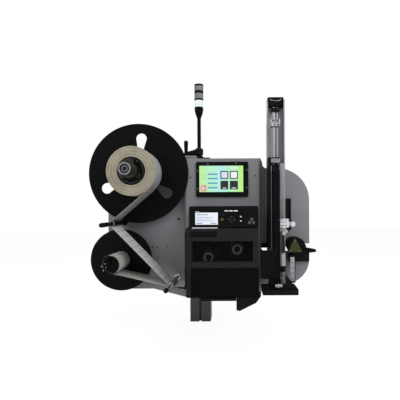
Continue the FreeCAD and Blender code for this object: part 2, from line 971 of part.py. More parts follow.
# Operator screen
housing = head_form("housing_form")
housing.pad(S.bezel_depth, "front",
            [rectangle(S.bezel_left, S.bezel_bottom, S.bezel_width, S.bezel_height)], at=S.cover_depth)
bezel_right = S.bezel_left + S.bezel_width
bezel_top = S.bezel_bottom + S.bezel_height
housing.fillet(S.bezel_round, "Y", [
    (S.bezel_left, S.bezel_bottom),
    (bezel_right, S.bezel_bottom),
    (bezel_right, bezel_top),
    (S.bezel_left, bezel_top),
])
housing.pad(S.screen_back_depth, "front", [rectangle(back_left, back_bottom, back_width, back_height)],
            at=S.cover_depth - S.screen_back_depth)
bezel_face = S.cover_depth + S.bezel_depth
housing.pocket(S.screen_glass, "front",
               [rectangle(S.screen_left, S.screen_bottom, S.screen_width, S.screen_height)],
               at=bezel_face - S.screen_glass)
node(housing.body, "hmi_housing")
node(block("screen_glass", S.screen_left + S.seat_gap, bezel_face - S.screen_glass,
           S.screen_bottom + S.seat_gap, S.screen_width - S.seat_gap * 2, S.screen_glass,
           S.screen_height - S.seat_gap * 2), "hmi_screen")

# Rear cabinet, a shell closed by the main plate
cabinet = Form("cabinet_form", 0, S.cabinet_depth - plate_back, 0)
cabinet_right = S.cabinet_left + S.cabinet_width
cabinet.pad(S.cabinet_depth, "front",
            [rectangle(S.cabinet_left, S.cabinet_bottom, S.cabinet_width, S.cabinet_height)])
cabinet.fillet(S.cabinet_round, "Z", [(S.cabinet_left, 0), (cabinet_right, 0)])
cabinet.pocket(S.cabinet_depth - S.cabinet_wall, "front", [rectangle(
    S.cabinet_left + S.cabinet_wall, S.cabinet_bottom + S.cabinet_wall,
    S.cabinet_width - S.cabinet_wall * 2, S.cabinet_height - S.cabinet_wall * 2)], at=S.cabinet_wall)
vent_left = S.cabinet_left + S.cabinet_width / 2 - S.vent_width / 2
vent = cabinet.pocket(S.cabinet_wall, "front",
                      [rectangle(vent_left, S.vent_bottom, S.vent_width, S.vent_height)])
cabinet.along([vent], 8, S.vent_pitch, "Z")
node(cabinet.body, "rear_cabinet")

# Unwind side: brake housing, shaft, disc, mandrel, core, roll and knob
behind = -S.plate_thickness
brake = turned_out("brake_form", S.supply_x, S.supply_z, [
    (behind - S.brake_length, S.shaft_radius + S.fit_gap),
    (behind - S.brake_length, S.brake_radius),
    (behind, S.brake_radius),
    (behind, S.boss_radius),
    (S.boss_depth, S.boss_radius),
    (S.boss_depth, S.shaft_radius + S.fit_gap),
])
node(brake.body, "unwind_brake")
knob_front = S.mandrel_depth + S.knob_depth
tip_front = knob_front + S.tip_length
shaft = turned_out("shaft_form", S.supply_x, S.supply_z, [
    (behind - S.brake_length - S.tail_length, 0),
    (behind - S.brake_length - S.tail_length, S.tail_radius),
    (behind - S.brake_length - S.running_gap, S.tail_radius),
    (behind - S.brake_length - S.running_gap, S.shaft_radius),
    (knob_front, S.shaft_radius),
    (knob_front, S.tip_radius),
    (tip_front, S.tip_radius),
    (tip_front, S.tip_bore),
    (tip_front - S.tip_recess, S.tip_bore),
    (tip_front - S.tip_recess, S.tip_bolt_radius),
    (tip_front - S.tip_bolt_drop, S.tip_bolt_radius),
    (tip_front - S.tip_bolt_drop, 0),
])
node(shaft.body, "supply_shaft")
disc = Form("disc_form", S.supply_x, -S.plate_reach, S.supply_z)
disc.pad(disc_back - S.boss_depth - S.running_gap, "front", circles=[(0, 0, S.disc_hub_radius)],
         at=S.boss_depth + S.running_gap)
disc.pad(S.disc_thickness, "front", circles=[(0, 0, S.supply_disc_radius)], at=disc_back)
disc.pocket(disc_front - S.boss_depth, "front", circles=[(0, 0, S.shaft_radius + S.fit_gap)], at=S.boss_depth)
turn_angle = math.radians(S.window_turn.value)


def spoke_point(reach, across):
    """Place a point by its distance along and across the line of the first window."""
    return (
        reach * math.cos(turn_angle) - across * math.sin(turn_angle),
        reach * math.sin(turn_angle) + across * math.cos(turn_angle),
    )


window_centre = spoke_point(S.window_reach, S.window_radius * 0)
round_end = disc.pocket(S.disc_thickness, "front", circles=[window_centre + (S.window_radius,)],
                        at=disc_back)
taper = disc.pocket(S.disc_thickness, "front", [[
    spoke_point(S.window_reach, S.window_radius),
    spoke_point(S.window_inner_reach, S.window_inner_half),
    spoke_point(S.window_inner_reach, -S.window_inner_half),
    spoke_point(S.window_reach, -S.window_radius),
]], at=disc_back)
disc.around([round_end, taper], 3, "Y")
node(disc.body, "supply_disc")
lobe_offset = S.core_radius - S.core_wall - S.mandrel_lobe_radius - S.seat_gap
mandrel = Form("mandrel_form", S.supply_x, -S.plate_reach, S.supply_z)
mandrel_length = S.mandrel_depth - disc_front
mandrel.pad(mandrel_length, "front", circles=[(0, 0, S.mandrel_hub_radius)], at=disc_front)
lobe = mandrel.pad(mandrel_length, "front", circles=[(0, lobe_offset, S.mandrel_lobe_radius)], at=disc_front)
mandrel.around([lobe], 3, "Y")
mandrel.pocket(mandrel_length, "front", circles=[(0, 0, S.shaft_radius + S.fit_gap)], at=disc_front)
node(mandrel.body, "supply_mandrel")
knob = turned_out("knob_form", S.supply_x, S.supply_z, [
    (S.mandrel_depth, S.shaft_radius + S.fit_gap),
    (S.mandrel_depth, S.knob_base_radius),
    (S.mandrel_depth + S.knob_base_depth, S.knob_base_radius),
    (knob_front, S.knob_tip_radius),
    (knob_front, S.shaft_radius + S.fit_gap),
])
node(knob.body, "supply_knob")
roll_end = disc_front + S.web_width
core = turned_out("core_form", S.supply_x, S.supply_z, [
    (disc_front, S.core_radius - S.core_wall),
    (disc_front, S.core_radius),
    (roll_end, S.core_radius),
    (roll_end, S.core_radius - S.core_wall),
])
node(core.body, "supply_core")
roll = turned_out("roll_form", S.supply_x, S.supply_z, [
    (disc_front, S.core_radius),
    (disc_front, S.roll_radius),
    (roll_end, S.roll_radius),
    (roll_end, S.core_radius),
])
node(roll.body, "label_roll")

# Rewind side: gear motor, slit mandrel, disc, wound liner and its clip
motor = turned_out("motor_form", S.rewind_x, S.rewind_z, [
    (behind - S.motor_length, 0),
    (behind - S.motor_length, S.motor_radius),
    (behind, S.motor_radius),
    (behind, S.boss_radius),
    (S.boss_depth, S.boss_radius),
    (S.boss_depth, S.shaft_radius + S.fit_gap),
    (behind, S.shaft_radius + S.fit_gap),
    (behind, 0),
])
node(motor.body, "rewind_gearmotor")
winder = Form("winder_form", S.rewind_x, -S.plate_reach, S.rewind_z)
winder.pad(disc_front - behind - S.running_gap, "front", circles=[(0, 0, S.shaft_radius)],
           at=behind + S.running_gap)
winder.pad(S.rewind_mandrel_front - disc_front, "front", circles=[(0, 0, S.rewind_mandrel_radius)],
           at=disc_front)
half_slit = S.rewind_slit / 2
winder.pocket(S.rewind_mandrel_front - disc_front, "front",
              [rectangle(-half_slit, 0, S.rewind_slit, S.rewind_mandrel_radius)], at=disc_front)
node(winder.body, "rewind_mandrel")
rewind_disc = turned_out("rewind_disc_form", S.rewind_x, S.rewind_z, [
    (S.boss_depth + S.running_gap, S.shaft_radius + S.fit_gap),
    (S.boss_depth + S.running_gap, S.disc_hub_radius),
    (disc_back, S.disc_hub_radius),
    (disc_back, S.rewind_disc_radius),
    (disc_front, S.rewind_disc_radius),
    (disc_front, S.shaft_radius + S.fit_gap),
])
node(rewind_disc.body, "rewind_disc")
wound_end = web_start + S.web_width
wound = turned_out("wound_form", S.rewind_x, S.rewind_z, [
    (disc_front, S.rewind_mandrel_radius + S.seat_gap),
    (disc_front, S.rewind_wound_radius),
    (wound_end, S.rewind_wound_radius),
    (wound_end, S.rewind_core_radius),
    (S.rewind_core_front, S.rewind_core_radius),
    (S.rewind_core_front, S.rewind_mandrel_radius + S.seat_gap),
])
node(wound.body, "rewind_roll")
clip_left = S.rewind_x - S.clip_offset
clip_z = S.rewind_z - S.clip_drop
clip_parts = [
    peg("clip_leg_left", S.clip_wire_radius, clip_left, clip_z, S.rewind_mandrel_front, S.clip_front),
    peg("clip_leg_right", S.clip_wire_radius, clip_left + S.clip_offset, clip_z, S.rewind_mandrel_front,
        S.clip_front),
    block("clip_bar", clip_left - S.clip_wire_radius, S.clip_front - S.clip_wire_radius * 2,
          clip_z - S.clip_wire_radius, S.clip_offset + S.clip_wire_radius * 2, S.clip_wire_radius * 2,
          S.clip_wire_radius * 2),
]
node(join("clip_form", clip_parts), "rewind_clip")


def guide_shaft(name, x, z, ring_radius, end, end_radius, collar_radius):
    """Turn one fixed guide shaft with its flange, its ring and its end collar."""
    return turned_out(name, x, z, [
        (0, 0),
        (0, S.guide_flange_radius),
        (S.guide_flange_depth, S.guide_flange_radius),
        (S.guide_flange_depth, S.guide_shaft_radius),
        (S.roller_end + S.running_gap, S.guide_shaft_radius),
        (S.roller_end + S.running_gap, ring_radius),
        (S.roller_end + S.guide_ring_depth, ring_radius),
        (S.roller_end + S.guide_ring_depth, end_radius),
        (end - S.end_collar_depth, end_radius),
        (end - S.end_collar_depth, collar_radius),
        (end, collar_radius),
        (end, 0),
    ])


def guide_roller(name, x, z, radius):
    """Turn one roller that spins on a guide shaft."""
    bore = S.guide_shaft_radius + S.fit_gap
    return turned_out(name, x, z, [
        (S.roller_start, bore),
        (S.roller_start, radius),
        (S.roller_end, radius),
        (S.roller_end, bore),
    ])


# Web guides
upper_shaft = guide_shaft("upper_shaft_form", S.upper_guide_x, S.upper_guide_z, S.upper_ring_radius,
                          S.upper_guide_end, S.upper_roller_radius - S.edge_step, S.upper_roller_radius)
lower_shaft = guide_shaft("lower_shaft_form", S.lower_guide_x, S.lower_guide_z, S.lower_ring_radius,
                          S.lower_guide_end, S.guide_shaft_radius, S.end_collar_radius)
node(group("shaft_group", [upper_shaft.body, lower_shaft.body]), "guide_shafts")
upper_roller = guide_roller("upper_roller_form", S.upper_guide_x, S.upper_guide_z, S.upper_roller_radius)
node(upper_roller.body, "guide_roller_upper")
lower_roller = guide_roller("lower_roller_form", S.lower_guide_x, S.lower_guide_z, S.lower_roller_radius)
node(lower_roller.body, "guide_roller_lower")


class Bend:
    """A round piece that the web passes: its centre, the web's radius and the side it lies on."""

    def __init__(self, x, z, radius, side):
        self.x = x.value
        self.z = z.value
        self.signed = side * (radius + S.running_gap + S.web_thickness / 2).value

    def touch(self, heading):
        """Give the point of the web's middle line where it touches at a heading."""
        return (self.x + self.signed * math.sin(heading), self.z - self.signed * math.cos(heading))


def heading_between(first, second):
    """Give the heading of the straight run that touches two bends."""
    span = math.hypot(second.x - first.x, second.z - first.z)
    line = math.atan2(second.z - first.z, second.x - first.x)
    return line - math.asin((second.signed - first.signed) / span)


def web_stations(bends, first_heading, last_heading):
    """List where the middle line of the web starts, bends and ends: point, heading, on an arc."""
    runs = [heading_between(a, b) for a, b in zip(bends, bends[1:])]
    before = [first_heading] + runs
    after = runs + [last_heading]
    stations = []
    for bend, arrive, leave in zip(bends, before, after):
        if arrive is None:
            stations.append((bend.touch(leave), leave, False))
        elif leave is None:
            stations.append((bend.touch(arrive), arrive, False))
        else:
            turn = math.remainder(leave - arrive, 2 * math.pi)
            stations.append((bend.touch(arrive), arrive, False))
            stations.append((bend.touch(arrive + turn / 2), arrive + turn / 2, True))
            stations.append((bend.touch(arrive + turn), arrive + turn, False))
    return stations


def web_side(stations, offset):
    """Give the edges of one face of the web, beside its middle line."""
    places = []
    for (x, z), heading, on_arc in stations:
        aside = (x - offset * math.sin(heading), z + offset * math.cos(heading))
        places.append((FreeCAD.Vector(aside[0], 0, aside[1]), on_arc))
    edges = []
    index = 0
    while index < len(places) - 1:
        start = places[index][0]
        if places[index + 1][1]:
            edges.append(Part.Arc(start, places[index + 1][0], places[index + 2][0]).toShape())
            index += 2
        else:
            edges.append(Part.LineSegment(start, places[index + 1][0]).toShape())
            index += 1
    return edges, places[0][0], places[-1][0]


def web_strip(name, stations):
    """Make a strip of web that follows its stations at the web's width and thickness."""
    half = (S.web_thickness / 2).value
    upper, upper_start, upper_end = web_side(stations, half)
    lower, lower_start, lower_end = web_side(stations, -half)
    ends = [
        Part.LineSegment(upper_end, lower_end).toShape(),
        Part.LineSegment(lower_start, upper_start).toShape(),
    ]
    wire = Part.Wire(Part.__sortEdges__(upper + lower + ends))
    strip = Part.Face(wire).extrude(FreeCAD.Vector(0, -S.web_width.value, 0))
    thing = doc.addObject("Part::Feature", name)
    thing.Shape = strip
    place(thing, 0, -(S.plate_reach + web_start), 0)
    return thing


# Label web from the roll to the peeling edge, and the bare liner from there to the rewind
LEFT, RIGHT = 1, -1
EAST = 0.0
lower_web_line = S.lower_guide_z - S.lower_roller_radius - S.running_gap - S.web_thickness / 2
web_under = S.web_thickness / 2 + S.running_gap
platen_z = lower_web_line - web_under - S.platen_radius
nose_z = lower_web_line - web_under - S.peel_nose_radius
peel_nose = Bend(S.peel_nose_x, nose_z, S.peel_nose_radius, RIGHT)
label_path = [
    Bend(S.supply_x, S.supply_z, S.roll_radius, RIGHT),
    Bend(S.upper_guide_x, S.upper_guide_z, S.upper_roller_radius, LEFT),
    Bend(S.lower_guide_x, S.lower_guide_z, S.lower_roller_radius, LEFT),
]
label_stations = web_stations(label_path, None, EAST) + [(peel_nose.touch(EAST), EAST, False)]
node(web_strip("label_web_form", label_stations), "label_web")
liner_path = [
    peel_nose,
    Bend(S.platen_x, platen_z, S.platen_radius, RIGHT),
    Bend(S.pin_x, S.pin_z, S.pin_radius, RIGHT),
    Bend(S.rewind_x, S.rewind_z, S.rewind_wound_radius, RIGHT),
]
node(web_strip("liner_web_form", web_stations(liner_path, EAST, None)), "liner_web")

# Print engine: frame with the ribbon studs, the pivots, the liner pin and the peel bar
engine_height = S.engine_top - S.engine_bottom
inner_start = S.cover_depth + S.engine_back_wall
bearing_height = S.bearing_top - S.engine_bottom
platen_bore = S.platen_shaft_radius + S.fit_gap
wall_form = head_form("wall_form")
wall_form.pad(S.engine_back_wall, "front",
              [rectangle(S.engine_left, S.engine_bottom, S.engine_width, engine_height)], at=S.cover_depth)
wall_form.pocket(S.engine_back_wall, "front", circles=[(S.platen_x, platen_z, platen_bore)], at=S.cover_depth)
cheek = head_form("cheek_form")
cheek.pad(S.bearing_thickness, "front",
          [rectangle(S.bearing_left, S.engine_bottom, S.bearing_width, bearing_height)], at=S.bearing_depth)
cheek.pocket(S.bearing_thickness, "front", circles=[(S.platen_x, platen_z, platen_bore)], at=S.bearing_depth)
peel_bar = head_form("peel_form")
peel_bar.pad(S.web_width + web_start - inner_start, "front", [[
    (S.peel_root_x, nose_z + S.peel_nose_radius - S.peel_root_height),
    (S.peel_nose_x, nose_z - S.peel_nose_radius / 2),
    (S.peel_nose_x + S.peel_nose_radius, nose_z + S.peel_nose_radius / 2),
    (S.peel_nose_x, nose_z + S.peel_nose_radius),
    (S.peel_root_x, nose_z + S.peel_nose_radius),
]], at=inner_start)
frame_parts = [
    wall_form.body,
    block("engine_floor", S.engine_left, inner_start, S.engine_bottom, S.engine_floor_width,
          S.casing_front - S.floor_setback - inner_start, S.engine_floor),
    block("waste_tray", S.tray_left, S.tray_depth, S.engine_bottom - S.tray_height, S.tray_width,
          S.casing_front - S.tray_setback - S.tray_depth, S.tray_height),
    cheek.body,
    peel_bar.body,
    peg("liner_pin", S.pin_radius, S.pin_x, S.pin_z, inner_start, S.bearing_depth),
    peg("supply_stud", S.stud_radius, S.ribbon_supply_x, S.ribbon_supply_z, inner_start, stud_front),
    peg("rewind_stud", S.stud_radius, S.ribbon_rewind_x, S.ribbon_rewind_z, inner_start, stud_front),
    peg("head_stud", S.head_pivot_radius, S.head_pivot_x, S.head_pivot_z, inner_start, S.bearing_depth),
    peg("lever_stud", S.head_pivot_radius, S.lever_x, S.lever_z, inner_start,
        S.lever_depth + S.lever_thickness),
]
node(join("engine_frame_form", frame_parts), "engine_frame")

# Print engine casing with the hinge lugs and the pin of its door
engine_right = S.engine_left + S.engine_width
casing = head_form("casing_form")
casing.pad(S.casing_front - inner_start, "front",
           [rectangle(S.engine_left, S.casing_bottom, S.engine_width, S.engine_top - S.casing_bottom)],
           at=inner_start)
casing.pocket(S.casing_front - inner_start, "front", [rectangle(
    S.engine_left, S.shoulder_bottom, S.shoulder_width, S.engine_top - S.shoulder_bottom)], at=inner_start)
casing.fillet(S.casing_round, "Y",
              [(S.engine_left + S.shoulder_width, S.engine_top), (engine_right, S.engine_top)])
casing.pocket(S.casing_front - inner_start, "front", [rectangle(
    S.engine_left + S.casing_wall, S.casing_bottom, S.engine_width - S.casing_wall * 2,
    S.bay_top - S.casing_bottom)], at=inner_start)
lug_back = S.casing_front - S.lug_length
lug_width = S.engine_left - S.hinge_x + S.knuckle_radius
lug_depth = hinge_depth - lug_back
hinge_y = -(S.plate_reach + hinge_depth)
lug_left = S.hinge_x - S.knuckle_radius
lug_bottoms = (S.hinge_bottom - S.running_gap - S.lug_height, S.hinge_top + S.running_gap)
knuckle_height = S.hinge_top - S.hinge_bottom
knuckle_room = post("knuckle_room", S.knuckle_radius + S.running_gap, S.hinge_x, hinge_y,
                    S.hinge_bottom - S.running_gap, knuckle_height + S.running_gap * 2)
casing_parts = [take("casing_relieved", casing.body, knuckle_room)]
for lug_bottom in lug_bottoms:
    casing_parts += [
        block("lug", lug_left, lug_back, lug_bottom, lug_width, lug_depth, S.lug_height),
        post("lug_nose", S.knuckle_radius, S.hinge_x, hinge_y, lug_bottom, S.lug_height),
    ]
casing_parts += [
    post("hinge_pin", S.hinge_pin_radius, S.hinge_x, hinge_y, S.hinge_bottom - S.running_gap,
         S.hinge_top - S.hinge_bottom + S.running_gap * 2),
]
node(join("engine_casing_form", casing_parts), "engine_casing")

# Control panel with its display and keys
panel_left = S.engine_left + S.panel_margin
panel_width = S.engine_width - S.panel_margin - S.panel_right_margin
panel_right = panel_left + panel_width
panel = head_form("panel_form")
panel.pad(S.panel_depth, "front",
          [rectangle(panel_left, S.panel_bottom, panel_width, S.engine_top - S.panel_bottom)],
          at=S.casing_front)
panel.fillet(S.panel_round, "Y", [(panel_left, S.engine_top), (panel_right, S.engine_top)])
panel_face = S.casing_front + S.panel_depth
panel.pocket(S.display_glass, "front",
             [rectangle(S.display_left, S.display_bottom, S.display_width, S.display_height)],
             at=panel_face - S.display_glass)
half_key = S.soft_key_width / 2
half_key_height = S.soft_key_height / 2
key_holes = [
    rectangle(S.soft_key_x - half_key - S.key_gap, z - half_key_height - S.key_gap,
              S.soft_key_width + S.key_gap * 2, S.soft_key_height + S.key_gap * 2)
    for z in (S.line_key_z, S.feed_key_z)
]
panel.pocket(S.panel_depth, "front", key_holes, [(S.arrow_x, S.arrow_z, S.arrow_radius + S.key_gap)],
             at=S.casing_front)
node(panel.body, "control_panel")
node(block("display_glass", S.display_left + S.seat_gap, panel_face - S.display_glass,
           S.display_bottom + S.seat_gap, S.display_width - S.seat_gap * 2, S.display_glass,
           S.display_height - S.seat_gap * 2), "panel_display")
key_back = S.casing_front + S.key_stand
key_length = S.panel_depth - S.key_stand + S.key_rise
arrow = turned_out("arrow_form", S.arrow_x, S.arrow_z, [
    (key_back, 0),
    (key_back, S.arrow_radius),
    (key_back + key_length - S.key_rise / 2, S.arrow_radius),
    (key_back + key_length, S.arrow_radius - S.key_rise),
    (key_back + key_length, 0),
])
node(arrow.body, "arrow_key")


def soft_key(name, z):
    """Make one small key of the panel."""
    left, bottom = S.soft_key_x - half_key, z - half_key_height
    key = head_form(name + "_form")
    key.pad(key_length, "front", [rectangle(left, bottom, S.soft_key_width, S.soft_key_height)], at=key_back)
    right, top = left + S.soft_key_width, bottom + S.soft_key_height
    key.fillet(S.key_round, "Y", [(left, bottom), (right, bottom), (right, top), (left, top)])
    node(key.body, name)


soft_key("line_key", S.line_key_z)
soft_key("feed_key", S.feed_key_z)

# Engine door, creased, with its knuckle and its window
door = head_form("door_form")
door.pad(engine_right - S.hinge_x, "side", [[
    (-door_front, S.door_top),
    (-door_front, S.door_crease),
    (-door_foot_front, S.door_bottom),
    (S.door_wall - door_foot_front, S.door_bottom),
    (S.door_wall - door_front, S.door_crease),
    (S.door_wall - door_front, S.door_top),
]], at=S.hinge_x)
opening_left = S.glass_left + S.glass_lip
opening_bottom = S.glass_bottom + S.glass_lip
door.pocket(S.door_wall, "front", [rectangle(
    opening_left, opening_bottom, S.glass_width - S.glass_lip * 2, S.glass_height - S.glass_lip * 2)],
    at=door_front - S.door_wall)
door.pocket(S.glass_thickness, "front",
            [rectangle(S.glass_left, S.glass_bottom, S.glass_width, S.glass_height)],
            at=door_front - S.glass_thickness)
knuckle = post("knuckle", S.knuckle_radius, S.hinge_x, hinge_y, S.hinge_bottom, knuckle_height)
pin_hole = post("pin_hole", S.hinge_pin_radius + S.fit_gap, S.hinge_x, hinge_y, S.door_bottom,
                S.door_top - S.door_bottom)
relief_span = S.knuckle_radius * 2 + S.running_gap * 2
relief_height = S.lug_height + S.running_gap * 2
relief_left = S.hinge_x - S.knuckle_radius - S.running_gap
relief_back = hinge_depth - S.knuckle_radius - S.running_gap
reliefs = join("lug_reliefs", [
    block("lower_relief", relief_left, relief_back, S.hinge_bottom - relief_height, relief_span,
          relief_span * 2, relief_height),
    block("upper_relief", relief_left, relief_back, S.hinge_top, relief_span, relief_span * 2,
          relief_height),
])
hung = take("door_hung", join("door_with_knuckle", [door.body, knuckle]), pin_hole)
node(take("door_relieved", hung, reliefs), "engine_door")
node(block("window_glass", S.glass_left + S.seat_gap, door_front - S.glass_thickness,
           S.glass_bottom + S.seat_gap, S.glass_width - S.seat_gap * 2, S.glass_thickness,
           S.glass_height - S.seat_gap * 2), "door_window")


def ribbon_spool(name, x, z):
    """Turn one ribbon core with the ribbon wound on it."""
    bore = S.stud_radius + S.fit_gap
    spool = turned_out(name + "_form", x, z, [
        (S.spool_back, bore),
        (S.spool_back, S.spool_radius),
        (S.ribbon_back, S.spool_radius),
        (S.ribbon_back, S.ribbon_radius),
        (S.ribbon_front, S.ribbon_radius),
        (S.ribbon_front, S.spool_radius),
        (S.spool_front, S.spool_radius),
        (S.spool_front, bore),
    ])
    node(spool.body, name)


ribbon_spool("ribbon_supply_spool", S.ribbon_supply_x, S.ribbon_supply_z)
ribbon_spool("ribbon_rewind_spool", S.ribbon_rewind_x, S.ribbon_rewind_z)

# Platen roller on its shaft
platen = turned_out("platen_form", S.platen_x, platen_z, [
    (S.cover_depth + S.running_gap, 0),
    (S.cover_depth + S.running_gap, S.platen_shaft_radius),
    (inner_start + S.running_gap, S.platen_shaft_radius),
    (inner_start + S.running_gap, S.platen_radius),
    (S.bearing_depth - S.running_gap, S.platen_radius),
    (S.bearing_depth - S.running_gap, S.platen_shaft_radius),
    (S.bearing_depth + S.bearing_thickness + S.running_gap, S.platen_shaft_radius),
    (S.bearing_depth + S.bearing_thickness + S.running_gap, 0),
])
node(platen.body, "platen_roller")

# Print head on its pivot, and the lever that lifts it
head_bottom = lower_web_line + web_under
print_head = head_form("head_form")
print_head.pad(S.head_front - S.head_back, "front", [[
    (S.head_left, S.head_arm_bottom),
    (S.head_nose_left, S.head_arm_bottom),
    (S.head_nose_left, head_bottom),
    (S.head_right, head_bottom),
    (S.head_right, S.head_arm_top),
    (S.head_left, S.head_arm_top),
]], at=S.head_back)
print_head.pocket(S.head_front - S.head_back, "front",
                  circles=[(S.head_pivot_x, S.head_pivot_z, S.head_pivot_radius + S.fit_gap)], at=S.head_back)
node(print_head.body, "print_head")
lever = Form("lever_form", S.lever_x, -S.plate_reach, S.lever_z)
lever.pad(S.lever_thickness, "front", circles=[(0, 0, S.lever_hub_radius)], at=S.lever_depth)
half_lever = S.lever_width / 2
lever.pad(S.lever_thickness, "front", [rectangle(0, -half_lever, S.lever_reach, S.lever_width)],
          at=S.lever_depth)
lever.fillet(half_lever - S.seat_gap, "Y", [(S.lever_reach, -half_lever), (S.lever_reach, half_lever)])
lever.pocket(S.lever_thickness, "front", circles=[(0, 0, S.head_pivot_radius + S.fit_gap)], at=S.lever_depth)
node(lever.body, "head_lever")

# Outfeed guard under the engine
guard = head_form("guard_form")
guard.pad(S.casing_front - S.guard_setback - S.guard_back, "front", [[
    (S.guard_left, S.engine_bottom),
    (S.guard_left, S.guard_low_z),
    (S.guard_toe_x, S.guard_toe_z),
    (S.guard_heel_x, S.guard_heel_z),
    (S.guard_right_x, S.guard_right_z),
    (S.guard_peak_x, S.guard_peak_z),
    (S.guard_root_x, S.engine_bottom),
]], at=S.guard_back)
node(guard.body, "outfeed_guard")

# Applicator column, a U channel with a hood
applicator_right = S.applicator_left + S.applicator_width
applicator_height = S.applicator_top - S.applicator_bottom
channel = Form("channel_form", 0, -S.plate_reach, S.applicator_bottom)
channel.pad(applicator_height, "top", [[
    (S.applicator_left, 0),
    (S.applicator_left, -S.applicator_depth),
    (S.applicator_left + S.applicator_wall, -S.applicator_depth),
    (S.applicator_left + S.applicator_wall, -S.applicator_wall),
    (applicator_right - S.applicator_wall, -S.applicator_wall),
    (applicator_right - S.applicator_wall, -S.applicator_depth),
    (applicator_right, -S.applicator_depth),
    (applicator_right, 0),
]])
channel.fillet(S.applicator_round, "Z", [(S.applicator_left, 0), (applicator_right, 0)])
node(channel.body, "applicator_column")
hood_width = S.applicator_width + S.hood_wall * 2
hood_depth = S.applicator_depth + S.hood_wall * 2
hood_bottom = S.applicator_top + S.hood_roof - S.hood_height
hood = take("hood_form",
            block("hood_outside", S.applicator_left - S.hood_wall, -S.hood_wall, hood_bottom, hood_width,
                  hood_depth, S.hood_height),
            block("hood_inside", S.applicator_left, 0, hood_bottom, S.applicator_width, S.applicator_depth,
                  S.hood_height - S.hood_roof))
node(hood, "applicator_cap")

# Tamp cylinder body with the bores of its rods
slide_height = S.slide_top - S.slide_bottom
slide = Form("slide_form", 0, -(S.plate_reach + S.applicator_depth), S.slide_bottom)
slide.pad(slide_height, "top", [rectangle(S.slide_left, -S.slide_depth, S.slide_width, S.slide_depth)])
slide_right = S.slide_left + S.slide_width
slide.fillet(S.slide_round, "Z", [(S.slide_left, -S.slide_depth), (slide_right, -S.slide_depth)])
rod_y = S.applicator_depth - S.rod_depth
slide.pocket(slide_height, "top", circles=[
    (S.main_rod_x, rod_y, S.main_rod_radius + S.fit_gap),
    (S.side_rod_x, rod_y, S.side_rod_radius + S.fit_gap),
])
node(slide.body, "slide_unit")

# Slotted wiring duct in front of the cylinder
duct_bottom = S.slide_bottom
duct_start = S.applicator_depth + S.slide_depth
duct = head_form("duct_form")
duct.pad(S.duct_depth, "front",
         [rectangle(S.duct_left, duct_bottom, S.duct_width, S.duct_top - duct_bottom)], at=duct_start)
duct_right = S.duct_left + S.duct_width
duct.fillet(S.duct_round, "Y", [(S.duct_left, S.duct_top), (duct_right, S.duct_top)])
groove = duct.pocket(S.duct_groove_depth, "front",
                     [rectangle(S.duct_left, duct_bottom + S.duct_pitch, S.duct_width, S.duct_groove)],
                     at=duct_start + S.duct_depth - S.duct_groove_depth)
groove_count = int((S.duct_top - duct_bottom - S.duct_pitch * 2).value // S.duct_pitch.value)
duct.along([groove], groove_count, S.duct_pitch, "Z")
node(duct.body, "cable_duct")

# Tamp rods, yoke and clamp
rod_line = -(S.plate_reach + S.rod_depth)
pad_top = S.pad_bottom + S.pad_height
carrier_top = pad_top + S.carrier_height
rods = [
    post("main_rod", S.main_rod_radius, S.main_rod_x, rod_line, carrier_top, S.rod_top - carrier_top),
    post("side_rod", S.side_rod_radius, S.side_rod_x, rod_line, carrier_top, S.rod_top - carrier_top),
]
node(group("rod_group", rods), "tamp_rods")
yoke = Form("yoke_form", 0, rod_line, 0)
yoke.pad(S.yoke_height, "top",
         [rectangle(S.yoke_left, -S.yoke_depth / 2, S.yoke_width, S.yoke_depth)], at=S.rod_top)
yoke_right = S.yoke_left + S.yoke_width
yoke.fillet(S.slide_round, "Z", [
    (S.yoke_left, -S.yoke_depth / 2),
    (S.yoke_left, S.yoke_depth / 2),
    (yoke_right, -S.yoke_depth / 2),
    (yoke_right, S.yoke_depth / 2),
])
clamp = Form("clamp_form", 0, rod_line, 0)
clamp.pad(S.clamp_height, "top",
          [rectangle(S.clamp_left, -S.clamp_depth / 2, S.clamp_width, S.clamp_depth)], at=S.clamp_bottom)
clamp.pocket(S.clamp_height, "top", circles=[
    (S.main_rod_x, 0, S.main_rod_radius + S.fit_gap),
    (S.side_rod_x, 0, S.side_rod_radius + S.fit_gap),
], at=S.clamp_bottom)
node(group("yoke_group", [yoke.body, clamp.body]), "tamp_yoke")

# Tamp pad with its air holes, carrier, gusset and the shroud round the rods
pad = Form("pad_form", 0, -(S.plate_reach + web_start), 0)
pad_right = S.pad_left + S.pad_width
pad.pad(S.pad_height, "top", [rectangle(S.pad_left, -S.pad_reach, S.pad_width, S.pad_reach)], at=S.pad_bottom)
pad.fillet(S.pad_round, "Z", [
    (S.pad_left, 0), (S.pad_left, -S.pad_reach), (pad_right, 0), (pad_right, -S.pad_reach)])
hole_columns, hole_rows = 4, 3
hole_x = S.pad_left + (S.pad_width - S.pad_hole_pitch * (hole_columns - 1)) / 2
hole_y = -(S.pad_reach - S.pad_hole_pitch * (hole_rows - 1)) / 2
first_row = pad.pocket(S.pad_height, "top", circles=[
    (hole_x + S.pad_hole_pitch * column_index, hole_y, S.pad_hole_radius)
    for column_index in range(hole_columns)
], at=S.pad_bottom)
pad.along([first_row], hole_rows, S.pad_hole_pitch, "Y", backwards=True)
gusset = head_form("gusset_form")
gusset.pad(S.gusset_thickness, "front", [[
    (S.gusset_left, pad_top),
    (pad_right - S.pad_round, pad_top),
    (S.gusset_left, pad_top + S.gusset_height),
]], at=S.gusset_back)
carrier = block("pad_carrier", S.carrier_left, S.carrier_back, pad_top, S.carrier_width, S.carrier_depth,
                S.carrier_height)
shroud_bottom = carrier_top + S.seat_gap
shroud_height = S.slide_bottom - S.shroud_gap - shroud_bottom
shroud = head_form("shroud_form")
